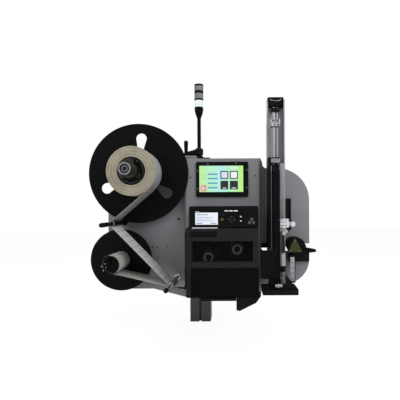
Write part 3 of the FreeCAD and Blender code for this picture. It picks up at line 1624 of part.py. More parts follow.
shroud.pad(S.shroud_depth, "front",
           [rectangle(S.shroud_left, shroud_bottom, S.shroud_width, shroud_height)], at=S.shroud_back)
shroud.pocket(S.shroud_depth - S.shroud_wall, "front", [rectangle(
    S.shroud_left + S.shroud_wall, shroud_bottom, S.shroud_width - S.shroud_wall * 2, shroud_height)],
    at=S.shroud_back)
pad_parts = join("pad_assembly", [pad.body, gusset.body, carrier])
node(group("pad_group", [pad_parts, shroud.body]), "tamp_pad")

# Buffer cylinder with its springy stem on the pad
buffer_y = -(S.plate_reach + S.buffer_depth)
neck_bottom = S.buffer_top - S.buffer_height - S.buffer_neck_height
ring_profile = []
ring_count = 5
for index in range(ring_count):
    ring_bottom = pad_top + S.buffer_ring_pitch * index + S.buffer_ring_height
    ring_profile += [
        (ring_bottom, S.buffer_stem_radius),
        (ring_bottom, S.buffer_ring_radius),
        (ring_bottom + S.buffer_ring_height, S.buffer_ring_radius),
        (ring_bottom + S.buffer_ring_height, S.buffer_stem_radius),
    ]
buffer_profile = [(pad_top, 0), (pad_top, S.buffer_stem_radius)] + ring_profile + [
    (neck_bottom, S.buffer_stem_radius),
    (neck_bottom, S.buffer_neck_radius),
    (neck_bottom + S.buffer_neck_height, S.buffer_neck_radius),
    (neck_bottom + S.buffer_neck_height, S.buffer_radius),
    (S.buffer_top, S.buffer_radius),
    (S.buffer_top, 0),
]
tamp_buffer = turned_up("buffer_form", S.buffer_x, buffer_y, buffer_profile)
node(tamp_buffer.body, "tamp_buffer")

# Valve block with its elbow, and the regulator knob
valve_start = S.applicator_depth
arm_left = S.valve_left + S.valve_width
stem_end = valve_start + S.valve_arm_depth + S.regulator_length
valve_parts = [
    block("valve_body", S.valve_left, valve_start, S.valve_bottom, S.valve_width, S.valve_depth,
          S.valve_height),
    block("valve_arm", arm_left, valve_start, S.valve_arm_bottom, S.valve_arm_right - arm_left,
          S.valve_arm_depth, S.valve_arm_height),
    post("elbow", S.elbow_radius, S.valve_left + S.valve_width / 2,
         -(S.plate_reach + valve_start + S.valve_depth / 2), S.valve_bottom - S.elbow_drop, S.elbow_drop),
    peg("regulator_stem", S.regulator_stem_radius, S.knob_x, S.knob_z, valve_start + S.valve_arm_depth,
        stem_end - S.regulator_cap),
]
node(join("valve_form", valve_parts), "valve_block")
knob_start = valve_start + S.valve_arm_depth + S.running_gap
regulator = turned_out("regulator_form", S.knob_x, S.knob_z, [
    (knob_start, S.regulator_stem_radius + S.fit_gap),
    (knob_start, S.regulator_radius),
    (stem_end - S.edge_step, S.regulator_radius),
    (stem_end, S.regulator_radius - S.edge_step),
    (stem_end, 0),
    (stem_end - S.regulator_cap + S.running_gap, 0),
    (stem_end - S.regulator_cap + S.running_gap, S.regulator_stem_radius + S.fit_gap),
])
node(regulator.body, "regulator_knob")

# Vacuum unit, a round housing with a rim
vacuum = turned_out("vacuum_form", S.vacuum_x, S.vacuum_z, [
    (0, 0),
    (0, S.vacuum_waist_radius),
    (S.vacuum_waist_depth, S.vacuum_waist_radius),
    (S.vacuum_waist_depth, S.vacuum_radius),
    (S.vacuum_depth - S.vacuum_rim / 2, S.vacuum_radius),
    (S.vacuum_depth, S.vacuum_radius - S.vacuum_rim / 2),
    (S.vacuum_depth, 0),
])
node(vacuum.body, "vacuum_unit")

# Grooved adjusting rail on the plate
rail = head_form("rail_form")
rail.pad(S.rail_depth, "front", [rectangle(S.rail_left, S.rail_bottom, S.rail_width, S.rail_height)])
rail.pocket(S.rail_groove_depth, "front", [rectangle(
    S.rail_left + S.rail_width / 2 - S.rail_groove / 2, S.rail_bottom, S.rail_groove, S.rail_height)],
    at=S.rail_depth - S.rail_groove_depth)
node(rail.body, "adjust_rail")

# Assist bracket with its post, and the stud of the clamp lever in the plate's slot
bracket_top = S.bracket_bottom + S.bracket_height
clamp_z = bracket_top + S.clamp_rise
bracket_parts = [
    block("bracket_plate", S.bracket_left, 0, S.bracket_bottom, S.bracket_right - S.bracket_left,
          S.bracket_thickness, S.bracket_height),
    block("post_arm", S.bracket_left, S.bracket_thickness, S.bracket_bottom, S.post_width,
          S.post_back + S.post_depth - S.bracket_thickness, S.post_arm_height),
    block("post_bar", S.bracket_left, S.post_back, S.post_bottom, S.post_width, S.post_depth,
          S.bracket_bottom - S.post_bottom),
    block("stud_plate", S.clamp_x - S.stud_foot_radius, 0, bracket_top, S.stud_foot_radius * 2,
          S.bracket_thickness, S.clamp_rise + S.stud_foot_radius),
    peg("clamp_stud", S.clamp_stud_radius, S.clamp_x, clamp_z, 0,
        S.clamp_lever_depth + S.clamp_hub_depth),
]
node(join("bracket_form", bracket_parts), "assist_bracket")
clamp_lever = Form("clamp_lever_form", S.clamp_x, -S.plate_reach, clamp_z)
clamp_lever.pad(S.clamp_hub_depth, "front", circles=[(0, 0, S.clamp_hub_radius)], at=S.clamp_lever_depth)
clamp_lever.pad(S.clamp_hub_depth, "front", [[
    (0, -S.clamp_root_half),
    (S.clamp_reach, -S.clamp_tip_half),
    (S.clamp_reach, S.clamp_tip_half),
    (0, S.clamp_root_half),
]], at=S.clamp_lever_depth)
clamp_lever.pocket(S.clamp_hub_depth, "front", circles=[(0, 0, S.clamp_stud_radius + S.fit_gap)],
                   at=S.clamp_lever_depth)
node(clamp_lever.body, "clamp_lever")

doc.recompute()
for thing in doc.Objects:
    if "Invalid" in thing.State or "Error" in thing.State:
        raise RuntimeError("%s (%s) is in state %s" % (thing.Name, thing.Label, thing.State))
for thing in nodes:
    if thing.Shape.isNull() or not thing.Shape.isValid():
        raise RuntimeError("%s has no valid shape" % thing.Label)
os.makedirs("parts", exist_ok=True)
for thing in nodes:
    thing.Shape.exportStep("parts/%s.step" % thing.Label)
print("%d nodes written" % len(nodes))
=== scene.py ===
"""Looks of the automatic labeler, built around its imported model."""

import logging
import math
from dataclasses import dataclass
from enum import Enum
from typing import Callable, Sequence

import bmesh
import bpy
from mathutils import Euler, Matrix, Vector


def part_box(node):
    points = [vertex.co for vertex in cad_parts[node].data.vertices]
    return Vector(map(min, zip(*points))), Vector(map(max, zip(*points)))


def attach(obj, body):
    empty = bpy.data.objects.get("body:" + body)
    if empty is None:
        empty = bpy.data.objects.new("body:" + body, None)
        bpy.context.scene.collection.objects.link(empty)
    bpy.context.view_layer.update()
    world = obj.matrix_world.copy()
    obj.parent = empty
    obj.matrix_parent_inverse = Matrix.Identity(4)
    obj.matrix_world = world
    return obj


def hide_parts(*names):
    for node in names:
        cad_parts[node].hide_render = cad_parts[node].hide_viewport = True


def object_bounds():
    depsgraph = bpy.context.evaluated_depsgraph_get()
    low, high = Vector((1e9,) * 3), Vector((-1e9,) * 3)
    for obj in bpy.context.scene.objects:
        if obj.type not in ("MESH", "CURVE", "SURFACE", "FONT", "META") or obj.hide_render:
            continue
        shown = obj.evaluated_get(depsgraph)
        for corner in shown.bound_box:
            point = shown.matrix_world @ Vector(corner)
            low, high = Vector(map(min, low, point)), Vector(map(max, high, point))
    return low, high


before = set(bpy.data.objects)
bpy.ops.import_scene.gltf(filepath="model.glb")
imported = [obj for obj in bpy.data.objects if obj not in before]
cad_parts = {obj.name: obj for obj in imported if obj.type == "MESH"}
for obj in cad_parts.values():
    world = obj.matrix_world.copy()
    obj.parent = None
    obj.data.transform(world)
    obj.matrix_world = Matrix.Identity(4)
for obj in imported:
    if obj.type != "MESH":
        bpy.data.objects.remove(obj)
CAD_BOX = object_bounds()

LOG = logging.getLogger("labeler")
MM = 0.001
PLATE_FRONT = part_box("main_plate")[0].y
# The cosine over which an edge or a face counts as following a direction.
PARALLEL = 0.98
# The distance in metres under which two corners become one.
DOUBLE = 1e-6
# The angles over which an edge is broken, and under which it is shaded smoothly.
SHARP, SMOOTH = math.radians(40), math.radians(32)
# How many sides a bent wire has, and how many steps its bend.
WIRE_SIDES, BEND_STEPS = 10, 18
# A cap screw's socket: where it starts and how wide it is, and its broken edge, as shares of height and radius.
SOCKET_FOOT, SOCKET_WIDTH, SCREW_EDGE = 0.45, 0.52, 0.12
# How far a flute of the lamp's lenses goes in, as the share of the radius that is left.
FLUTE = 0.965
# The refraction of paints and plastics.
REFRACTION = 1.5
# How many rings the wave pattern shows in a length of one.
RINGS_PER_LENGTH = 0.314
# How far a noise is drawn out along the lines of drawn metal.
LINE_STRETCH = 0.012
Test = Callable[[Vector, Vector], bool]
Spot = tuple[float, float]
Box = tuple[float, float, float, float]
Profile = Sequence[Spot]
Socket = bpy.types.NodeSocket


class Axis(Enum):
    """The lines that an edge or a pattern can follow."""

    X = 0
    Y = 1
    Z = 2


class Toward(Enum):
    """The ways in which a workpiece grows or a face looks."""

    OUT = (0, -1, 0)
    BACK = (0, 1, 0)
    UP = (0, 0, 1)
    DOWN = (0, 0, -1)
    RIGHT = (1, 0, 0)
    LEFT = (-1, 0, 0)

    @property
    def vector(self) -> Vector:
        """The direction as a vector of length one."""
        return Vector(self.value)


def at(x: float, depth: float, z: float) -> Vector:
    """Return the point in metres that is x right of the column, depth in front of the plate and z up, in mm."""
    return Vector((x * MM, PLATE_FRONT - depth * MM, z * MM))


def places(depth: float, *spots: Spot) -> list[Vector]:
    """Return points at one depth in front of the plate, from their x and z in mm."""
    return [at(x, depth, z) for x, z in spots]


def square(axis: Spot, depth: float, away: float) -> list[Vector]:
    """Return the corners of a square round an axis at a depth, each x and z the same distance away, in mm."""
    return places(depth, *[(axis[0] + x, axis[1] + z) for x in (-away, away) for z in (-away, away)])


def ring(inner: float, outer: float, width: float) -> Profile:
    """Return the hollow profile of a square-edged ring, in mm."""
    return ((0, inner), (0, outer), (width, outer), (width, inner), (0, inner))


def tilt(way: Vector) -> Euler:
    """Return the rotation that turns the Z axis to a direction."""
    return way.to_track_quat("Z", "Y").to_euler()


def facing(toward: Toward) -> Test:
    """Return a test for faces that look one way."""
    return lambda middle, normal: normal.dot(toward.vector) > PARALLEL


def along(axis: Axis, place: Callable[[Vector], bool] = lambda middle: True) -> Test:
    """Return a test for edges along an axis, in a place if one is given."""
    return lambda middle, line: abs(line[axis.value]) > PARALLEL and place(middle)


def wound(axis: Spot, radius: float) -> Test:
    """Return a test for the faces round the side of a roll, beyond a radius in mm from its axis."""
    centre = Vector(axis) * MM
    return lambda middle, normal: abs(normal.y) < 0.5 and (middle.xz - centre).length > radius * MM


def linear(colour: str) -> tuple[float, float, float, float]:
    """Turn an sRGB hex colour into the linear one that Blender stores.

    Args:
        colour: six hex digits after a hash sign.

    Returns:
        Linear red, green and blue, and full opacity.
    """
    values = []
    for start in (1, 3, 5):
        part = int(colour[start:start + 2], 16) / 255
        values.append(part / 12.92 if part <= 0.04045 else ((part + 0.055) / 1.055) ** 2.4)
    return (values[0], values[1], values[2], 1)


class Graph:
    """A node tree in the making."""

    def __init__(self, owner: bpy.types.Material | bpy.types.World) -> None:
        """Start from the emptied tree of a material or a world.

        Args:
            owner: the material or the world.
        """
        owner.use_nodes = True
        self.tree = owner.node_tree
        self.tree.nodes.clear()

    def add(self, kind: str, settings: dict | None = None, links: dict | None = None) -> bpy.types.Node:
        """Add a shader node with its settings and links.

        Args:
            kind: the node type, without the word ShaderNode.
            settings: node attributes by name, and input values by name or place.
            links: output sockets by the name or place of the input that each goes into.

        Returns:
            The new node.
        """
        node = self.tree.nodes.new("ShaderNode" + kind)
        for name, value in (settings or {}).items():
            if isinstance(name, str) and hasattr(node, name):
                setattr(node, name, value)
            else:
                node.inputs[name].default_value = value
        for name, source in (links or {}).items():
            self.tree.links.new(source, node.inputs[name])
        return node


class Patterns(Graph):
    """A material's node tree, with the patterns that the finishes share."""

    def __init__(self, owner: bpy.types.Material) -> None:
        """Start from the object's own coordinates."""
        super().__init__(owner)
        self.place = self.add("TexCoord").outputs["Object"]

    def noise(self, size: float, detail: float, place: Socket | None = None) -> Socket:
        """Return clouds of a size in mm with finer layers on them, read at the object's place or another."""
        settings = {"Scale": 1 / (size * MM), "Detail": detail, "Roughness": 0.55}
        return self.add("TexNoise", settings, {"Vector": place or self.place}).outputs[0]

    def slope(self, axis: Axis, start: float, end: float) -> Socket:
        """Return a slope that rises from 0 to 1 along an axis.

        Args:
            axis: the axis.
            start: where it starts to rise, in mm.
            end: where it ends, in mm.

        Returns:
            The socket with the slope's height.
        """
        split = self.add("SeparateXYZ", links={0: self.place})
        settings = {"From Min": start * MM, "From Max": end * MM}
        return self.add("MapRange", settings, {"Value": split.outputs[axis.value]}).outputs[0]


@dataclass(frozen=True)
class Finish:
    """A surface finish: its name, the record's slot, its sRGB colours and how it shines."""

    name: str
    slot: str
    colour: str
    second: str
    roughness: float = 0.5
    metallic: float = 0
    level: float = 0.5

    def material(self) -> bpy.types.Material:
        """Find the finish's material, or make it on first use.

        Returns:
            The material.
        """
        made = bpy.data.materials.get(self.name)
        if made is None:
            made = bpy.data.materials.new(self.name)
            on = Patterns(made)
            on.add("OutputMaterial", links={"Surface": self.surface(on)})
        return made

    def surface(self, on: Patterns) -> Socket:
        """Build the nodes between the object's coordinates and the output; each kind has its own."""
        raise NotImplementedError

    def blend(self, on: Patterns, factor: Socket, low: float, high: float) -> Socket:
        """Return a colour between the finish's two colours.

        Args:
            on: the material's node tree.
            factor: the pattern that chooses between them.
            low: the pattern's height at and under which the first colour shows.
            high: the height at and over which the second shows.

        Returns:
            The colour socket.
        """
        ramp = on.add("ValToRGB", links={"Fac": factor})
        first, last = ramp.color_ramp.elements
        first.position, first.color = low, linear(self.colour)
        last.position, last.color = high, linear(self.second)
        return ramp.outputs["Color"]

    def skin(self, on: Patterns, tones: Socket, relief: Socket, depth: float, strength: float,
             span: Spot = (0.3, 0.7)) -> Socket:
        """Return the main shader over a blend of tones and a relief.

        Args:
            on: the material's node tree.
            tones: the pattern that chooses between the two colours.
            relief: the pattern that raises the surface.
            depth: the relief's full height in mm.
            strength: how much of it shows, from 0 to 1.
            span: the heights of the pattern of tones between which the colours blend.

        Returns:
            The shader socket.
        """
        colour = self.blend(on, tones, *span)
        normal = on.add("Bump", {"Distance": depth * MM, "Strength": strength}, {"Height": relief}).outputs[0]
        settings = {"Roughness": self.roughness, "Metallic": self.metallic}
        if self.metallic < 1:
            settings |= {"IOR": REFRACTION, "Specular IOR Level": self.level}
        return on.add("BsdfPrincipled", settings, {"Base Color": colour, "Normal": normal}).outputs[0]


@dataclass(frozen=True)
class PowderCoat(Finish):
    """Baked powder paint on sheet: a slow drift of tone over a fine orange peel."""

    peel: float = 1.6

    def surface(self, on: Patterns) -> Socket:
        """Build the drift and the peel."""
        return self.skin(on, on.noise(160, 2), on.noise(self.peel, 1), 0.05, 0.35)


@dataclass(frozen=True)
class Drawn(Finish):
    """Extruded, drawn or ground metal: fine straight lines along one axis."""

    line: Axis = Axis.Z
    pitch: float = 1.5

    def surface(self, on: Patterns) -> Socket:
        """Build the lines from a noise that is stretched along the axis.

        Args:
            on: the material's node tree.

        Returns:
            The shader socket.
        """
        stretch = [LINE_STRETCH if axis is self.line else 1 for axis in Axis]
        mapped = on.add("Mapping", {"Scale": stretch}, {"Vector": on.place}).outputs[0]
        lines = on.noise(self.pitch, 2, mapped)
        return self.skin(on, lines, lines, 0.03, 0.4)


@dataclass(frozen=True)
class Turned(Finish):
    """A face cut or wound round an axis along Y: fine rings round its middle."""

    middle: Spot = (0, 0)
    pitch: float = 1.6
    depth: float = 0.08

    def rings(self, on: Patterns, pitch: float) -> Socket:
        """Return rings round the middle.

        Args:
            on: the material's node tree.
            pitch: the distance between two rings in mm.

        Returns:
            The socket with the rings' height.
        """
        shift = (-self.middle[0] * MM, 0, -self.middle[1] * MM)
        mapped = on.add("Mapping", {"Location": shift, "Scale": (1, 0, 1)}, {"Vector": on.place}).outputs[0]
        wave = {"wave_type": "RINGS", "rings_direction": "SPHERICAL", "wave_profile": "SIN",
                "Scale": 1 / (pitch * MM) * RINGS_PER_LENGTH, "Distortion": 0.3, "Detail": 1, "Detail Scale": 0.5}
        return on.add("TexWave", wave, {"Vector": mapped}).outputs["Fac"]

    def surface(self, on: Patterns) -> Socket:
        """Build the face from its fine rings."""
        rings = self.rings(on, self.pitch)
        return self.skin(on, rings, rings, self.depth, 0.5, (0.2, 0.8))


@dataclass(frozen=True)
class WoundPaper(Turned):
    """Paper wound tightly: uneven bands of tone over fine edges of each turn."""

    band: float = 11

    def surface(self, on: Patterns) -> Socket:
        """Build the roll's end from broad bands, fine turns and a cloud.

        Args:
            on: the material's node tree.

        Returns:
            The shader socket.
        """
        fine = self.rings(on, self.pitch)
        mixed = on.noise(26, 2)
        for share, layer in ((0.5, fine), (0.35, self.rings(on, self.band))):
            mixed = on.add("Math", {"operation": "MULTIPLY_ADD", 1: share}, {0: layer, 2: mixed}).outputs[0]
        return self.skin(on, mixed, fine, self.depth, 0.5, (0.45, 1.35))


@dataclass(frozen=True)
class Moulded(Finish):
    """Moulded plastic from a spark-eroded tool: a fine even grain over a slow drift of tone."""

    grain: float = 0.9
    strength: float = 0.3

    def surface(self, on: Patterns) -> Socket:
        """Build the drift and the grain, which is deeper where it is coarser."""
        return self.skin(on, on.noise(45, 3), on.noise(self.grain, 2), self.grain * 0.07, self.strength)


@dataclass(frozen=True)
class CreaseShade(Finish):
    """Moulded plastic that changes colour over 2 mm at a height, darker below it: painted shade under a crease."""

    height: float = 0

    def surface(self, on: Patterns) -> Socket:
        """Build the painted shade's change of tone over a fine grain."""
        share = on.slope(Axis.Z, self.height - 1, self.height + 1)
        return self.skin(on, share, on.noise(0.9, 2), 0.06, 0.3, (0, 1))


@dataclass(frozen=True)
class Lit(Finish):
    """A lit surface behind clear plastic: it glows evenly and still shines."""

    roughness: float = 0.1
    glow: float = 1
    line: Axis = Axis.X
    start: float = 0
    end: float = 1

    def surface(self, on: Patterns) -> Socket:
        """Build the glow as a slow change from the first colour to the second.

        Args:
            on: the material's node tree.

        Returns:
            The shader socket.
        """
        colour = self.blend(on, on.slope(self.line, self.start, self.end), 0, 1)
        glow = on.add("Emission", {"Strength": self.glow}, {"Color": colour}).outputs[0]
        gloss = on.add("BsdfGlossy", {"Roughness": self.roughness}).outputs[0]
        edge = on.add("Fresnel", {"IOR": REFRACTION}).outputs[0]
        return on.add("MixShader", links={0: edge, 1: glow, 2: gloss}).outputs[0]


@dataclass(frozen=True)
class Clear(Finish):
    """Smoked plastic: half of it is seen through, and it has a soft shine."""

    def surface(self, on: Patterns) -> Socket:
        """Build the plastic from a see-through part and a moulded part.

        Args:
            on: the material's node tree.

        Returns:
            The shader socket.
        """
        cloud = on.noise(60, 2)
        body = self.skin(on, cloud, cloud, 0.02, 0.1)
        through = on.add("BsdfTransparent").outputs[0]
        return on.add("MixShader", {0: 0.5}, {1: through, 2: body}).outputs[0]


@dataclass(frozen=True)
class LitScreen(Lit):
    """A lit screen whose glow passes through a middle colour."""

    middle: str = "#b4f0ec"

    def blend(self, on: Patterns, factor: Socket, low: float, high: float) -> Socket:
        """Add the middle colour to the blend of the two outer ones.

        Args:
            on: the material's node tree.
            factor: the pattern that chooses between them.
            low: the pattern's height at and under which the first colour shows.
            high: the height at and over which the second shows.

        Returns:
            The colour socket.
        """
        colour = super().blend(on, factor, low, high)
        colour.node.color_ramp.elements.new(0.5).color = linear(self.middle)
        return colour


# Baked polyester powder on the plate: soft mid grey with a fine peel.
GREY_POWDER = PowderCoat("grey_powder_coat", "painted_grey", "#68686c", "#707074", level=0.3)
# The same powder on the cover, painted a shade darker than the plate's to offset the extra light that the cover
# catches: painted shade.
SHADED_COVER_POWDER = PowderCoat("cover_powder_coat_painted_shade", "painted_grey", "#606064", "#68686c", level=0.3)
# Powder coat on the cabinet behind the plate, a shade darker.
CABINET_POWDER = PowderCoat("cabinet_powder_coat", "grey_cabinet", "#5f5f63", "#67676b", roughness=0.55)
# Black powder coat on folded steel: almost black with a dull sheen.
BLACK_POWDER = PowderCoat("black_powder_coat", "black_steel", "#090909", "#0e0e0f", level=0.06, peel=1.2)
# Extruded aluminium, anodised a dull dark grey: faint lines along its length.
COLUMN_ANODISED = Drawn("dark_anodised_extrusion", "natural_aluminium", "#3f3f42", "#4a4a4d", roughness=0.45,
                        metallic=0.4, level=0.2)
# Extruded aluminium with a natural anodised skin, satin grey.
CHANNEL_ANODISED = Drawn("natural_anodised_extrusion", "natural_aluminium", "#7d7d82", "#8b8b90", roughness=0.45,
                         metallic=0.4, level=0.3)
# Satin sheet over the channel's side: lighter, with a lavender cast.
SATIN_SHEET = Drawn("satin_anodised_sheet", "natural_aluminium", "#6c6b72", "#76757c", metallic=0.2, level=0.3)
# Milled aluminium: brighter, with cutter lines across.
MILLED_ALUMINIUM = Drawn("milled_aluminium", "machined_aluminium", "#6f6f72", "#838386", roughness=0.38,
                         metallic=0.8, line=Axis.X)
# Hard anodised aluminium, black, with faint drawing lines.
BLACK_ANODISED = Drawn("black_anodised_aluminium", "black_anodised", "#080809", "#0e0e0f", roughness=0.4,
                       level=0.06)
# Ground steel rod along Z: bright with hair lines.
GROUND_ROD = Drawn("ground_steel_rod", "ground_steel", "#707072", "#828284", roughness=0.3, metallic=0.9,
                   pitch=0.8)
# Ground steel shafts along Y.
GROUND_SHAFT = Drawn("ground_steel_shaft", "ground_steel", "#929295", "#a9a9ac", roughness=0.28, metallic=0.9,
                     line=Axis.Y, pitch=0.8)
# Brushed steel rings on the tension knob, duller than the shafts.
BRUSHED_STEEL = Drawn("brushed_steel_ring", "ground_steel", "#5f5f62", "#707073", roughness=0.4, metallic=0.6,
                      line=Axis.Y, pitch=0.8)
# Chromed wire and rings: clear reflections.
CHROME = Drawn("bright_chrome", "chrome_clip", "#a6a6a9", "#bcbcbf", roughness=0.16, metallic=1, line=Axis.Y,
               pitch=0.6)
# Black oxide screws: dark with a slight oil sheen.
BLACK_SCREW = Moulded("black_oxide_screw", "black_steel", "#0b0b0c", "#131314", roughness=0.4, level=0.1,
                      grain=0.5)
# Zinc plated screws and springs.
ZINC = Moulded("zinc_plated_steel", "ground_steel", "#77787b", "#8d8e91", roughness=0.35, metallic=0.9, grain=0.6)
# Black ABS housings with a fine grain.
BLACK_ABS = Moulded("black_abs", "black_plastic", "#090909", "#0d0d0e", level=0.03)
# Black ABS of the casing: deeper and a little smoother.
DEEP_ABS = Moulded("deep_black_abs", "black_plastic", "#070707", "#0b0b0b", roughness=0.45, level=0.05)
# The engine door's ABS, charcoal above its crease and painted darker under it: painted shade where the face slopes
# inward there.
DOOR_ABS_SHADED_BELOW = CreaseShade("door_abs_painted_shade_below_crease", "black_plastic", "#060606", "#1c1c1d", level=0.03, height=256)
# Charcoal ABS strips, a touch lighter than the door.
CHARCOAL_ABS = Moulded("charcoal_abs", "black_plastic", "#151515", "#1a1a1a", level=0.05)
# Gloss black polycarbonate panels: a smooth skin with a dim mirror.
GLOSS_BLACK = Moulded("gloss_black_polycarbonate", "gloss_black", "#050505", "#080809", roughness=0.25,
                      level=0.07, strength=0.03)
# Black nylon of the expanding mandrels: smooth, uneven and shiny, so that it catches small highlights.
GLOSS_NYLON = Moulded("glossy_black_nylon", "black_plastic", "#0b0908", "#100e0d", roughness=0.16, level=0.35,
                      grain=13, strength=1)
# Nitrile rubber: black and matt.
RUBBER = Moulded("nitrile_rubber", "rubber_black", "#080808", "#0d0d0d", roughness=0.7, level=0.08, grain=1.2)
# White acetal: smooth with a waxy shine.
ACETAL = Moulded("white_acetal", "white_plastic", "#b3b2b8", "#bfbec3", roughness=0.35, strength=0.08)
# Pale ends of the ribbon cores, light enough to show through the smoked window.
RIBBON_CORE = Moulded("pale_ribbon_core", "grey_core", "#b9b9b6", "#c8c8c5", roughness=0.7, grain=1.2)
# Wax ribbon wound on its core: deep black with a soft gloss.
RIBBON = Drawn("black_wax_ribbon", "black_plastic", "#0b0b0d", "#141417", roughness=0.3, level=0.4, line=Axis.Y,
               pitch=2)
# Smoked polycarbonate window.
SMOKED = Clear("smoked_polycarbonate", "smoked_window", "#050506", "#080809", roughness=0.2, level=0.06)
# Ribbed lens plastic that is not lit.
DULL_LENS = Moulded("grey_lens_plastic", "lamp_lens", "#575958", "#616362", roughness=0.35, level=0.3, grain=2,
                    strength=0.1)
# The lamp's lowest lens, lit white with a breath of green.
LIT_LENS = Lit("lit_white_lens", "lamp_lens", "#e4f3e8", "#f0faf2", roughness=0.3, glow=0.95, line=Axis.Z,
               start=850, end=877)
# Amber lens that is off.
AMBER = Moulded("amber_lens_plastic", "lamp_lens", "#3a2c12", "#4a3818", roughness=0.3, level=0.2, grain=2,
                strength=0.1)
# Label stock on its liner: pale grey with a faint lavender cast.
LABEL_STOCK = Moulded("lavender_grey_label_stock", "label_paper", "#8b8b90", "#99999e", grain=3, strength=0.06)
# Glassine web that carries the labels.
GLASSINE = Moulded("grey_glassine", "liner_paper", "#96938f", "#a3a09c", roughness=0.45, grain=3, strength=0.06)
# The blanks on the web, a shade lighter than the glassine.
BLANK_PAPER = Moulded("pale_label_blanks", "label_paper", "#b9b6b4", "#c6c3c1", roughness=0.6, grain=2,
                      strength=0.1)
# The same blanks where the web hangs in the roll's shade, a duller grey.
SHADED_PAPER = Moulded("shaded_label_blanks", "label_paper", "#868482", "#92908e", roughness=0.6, grain=2,
                       strength=0.1)
# Bare liner after the labels have left it.
LINER = Moulded("bare_glassine_liner", "liner_paper", "#9c9a96", "#a8a6a2", roughness=0.4, grain=3, strength=0.05)
# Olive anodised sheet.
OLIVE = PowderCoat("olive_anodised_sheet", "black_steel", "#2b2d13", "#34361a", level=0.1)
# The operator's screen, lit green with a pale aqua middle.
SCREEN_GLOW = LitScreen("lit_green_screen", "screen_glass", "#bff39a", "#baf57e", start=10, end=167)
# Blue fields on the screen.
BLUE_FIELD = Lit("lit_blue_field", "screen_glass", "#4a98b4", "#5aa8c6", start=30, end=66)
# Nearly black fields on the screen.
DARK_FIELD = Lit("lit_dark_field", "screen_glass", "#12181c", "#181f24", start=75, end=138)
# Lavender and near white fields on the screen.
PALE_FIELD = Lit("lit_pale_field", "screen_glass", "#d6d4f0", "#f4f6fb", start=80, end=138)
# The warning field on the screen.
RED_FIELD = Lit("lit_red_field", "screen_glass", "#e8b09a", "#e0907a", start=14, end=35)
# The lit background of the engine's small display.
DISPLAY_GLOW = Lit("lit_pale_display", "display_glass", "#e6effb", "#eef5ff", start=12, end=83)
# Dark lines of the display's picture.
DISPLAY_LINE = Lit("grey_display_line", "display_glass", "#8d99ab", "#97a3b4", start=12, end=83)
# Pale printed marks on dark keys.
PALE_MARK = Moulded("pale_key_print", "white_plastic", "#b9bac0", "#c4c5cb", grain=2, strength=0.05)
# The same print, dimmed by the dark skin over it.
DIM_MARK = Moulded("dim_key_print", "black_plastic", "#3a3a42", "#44444c", level=0.1, grain=2, strength=0.05)


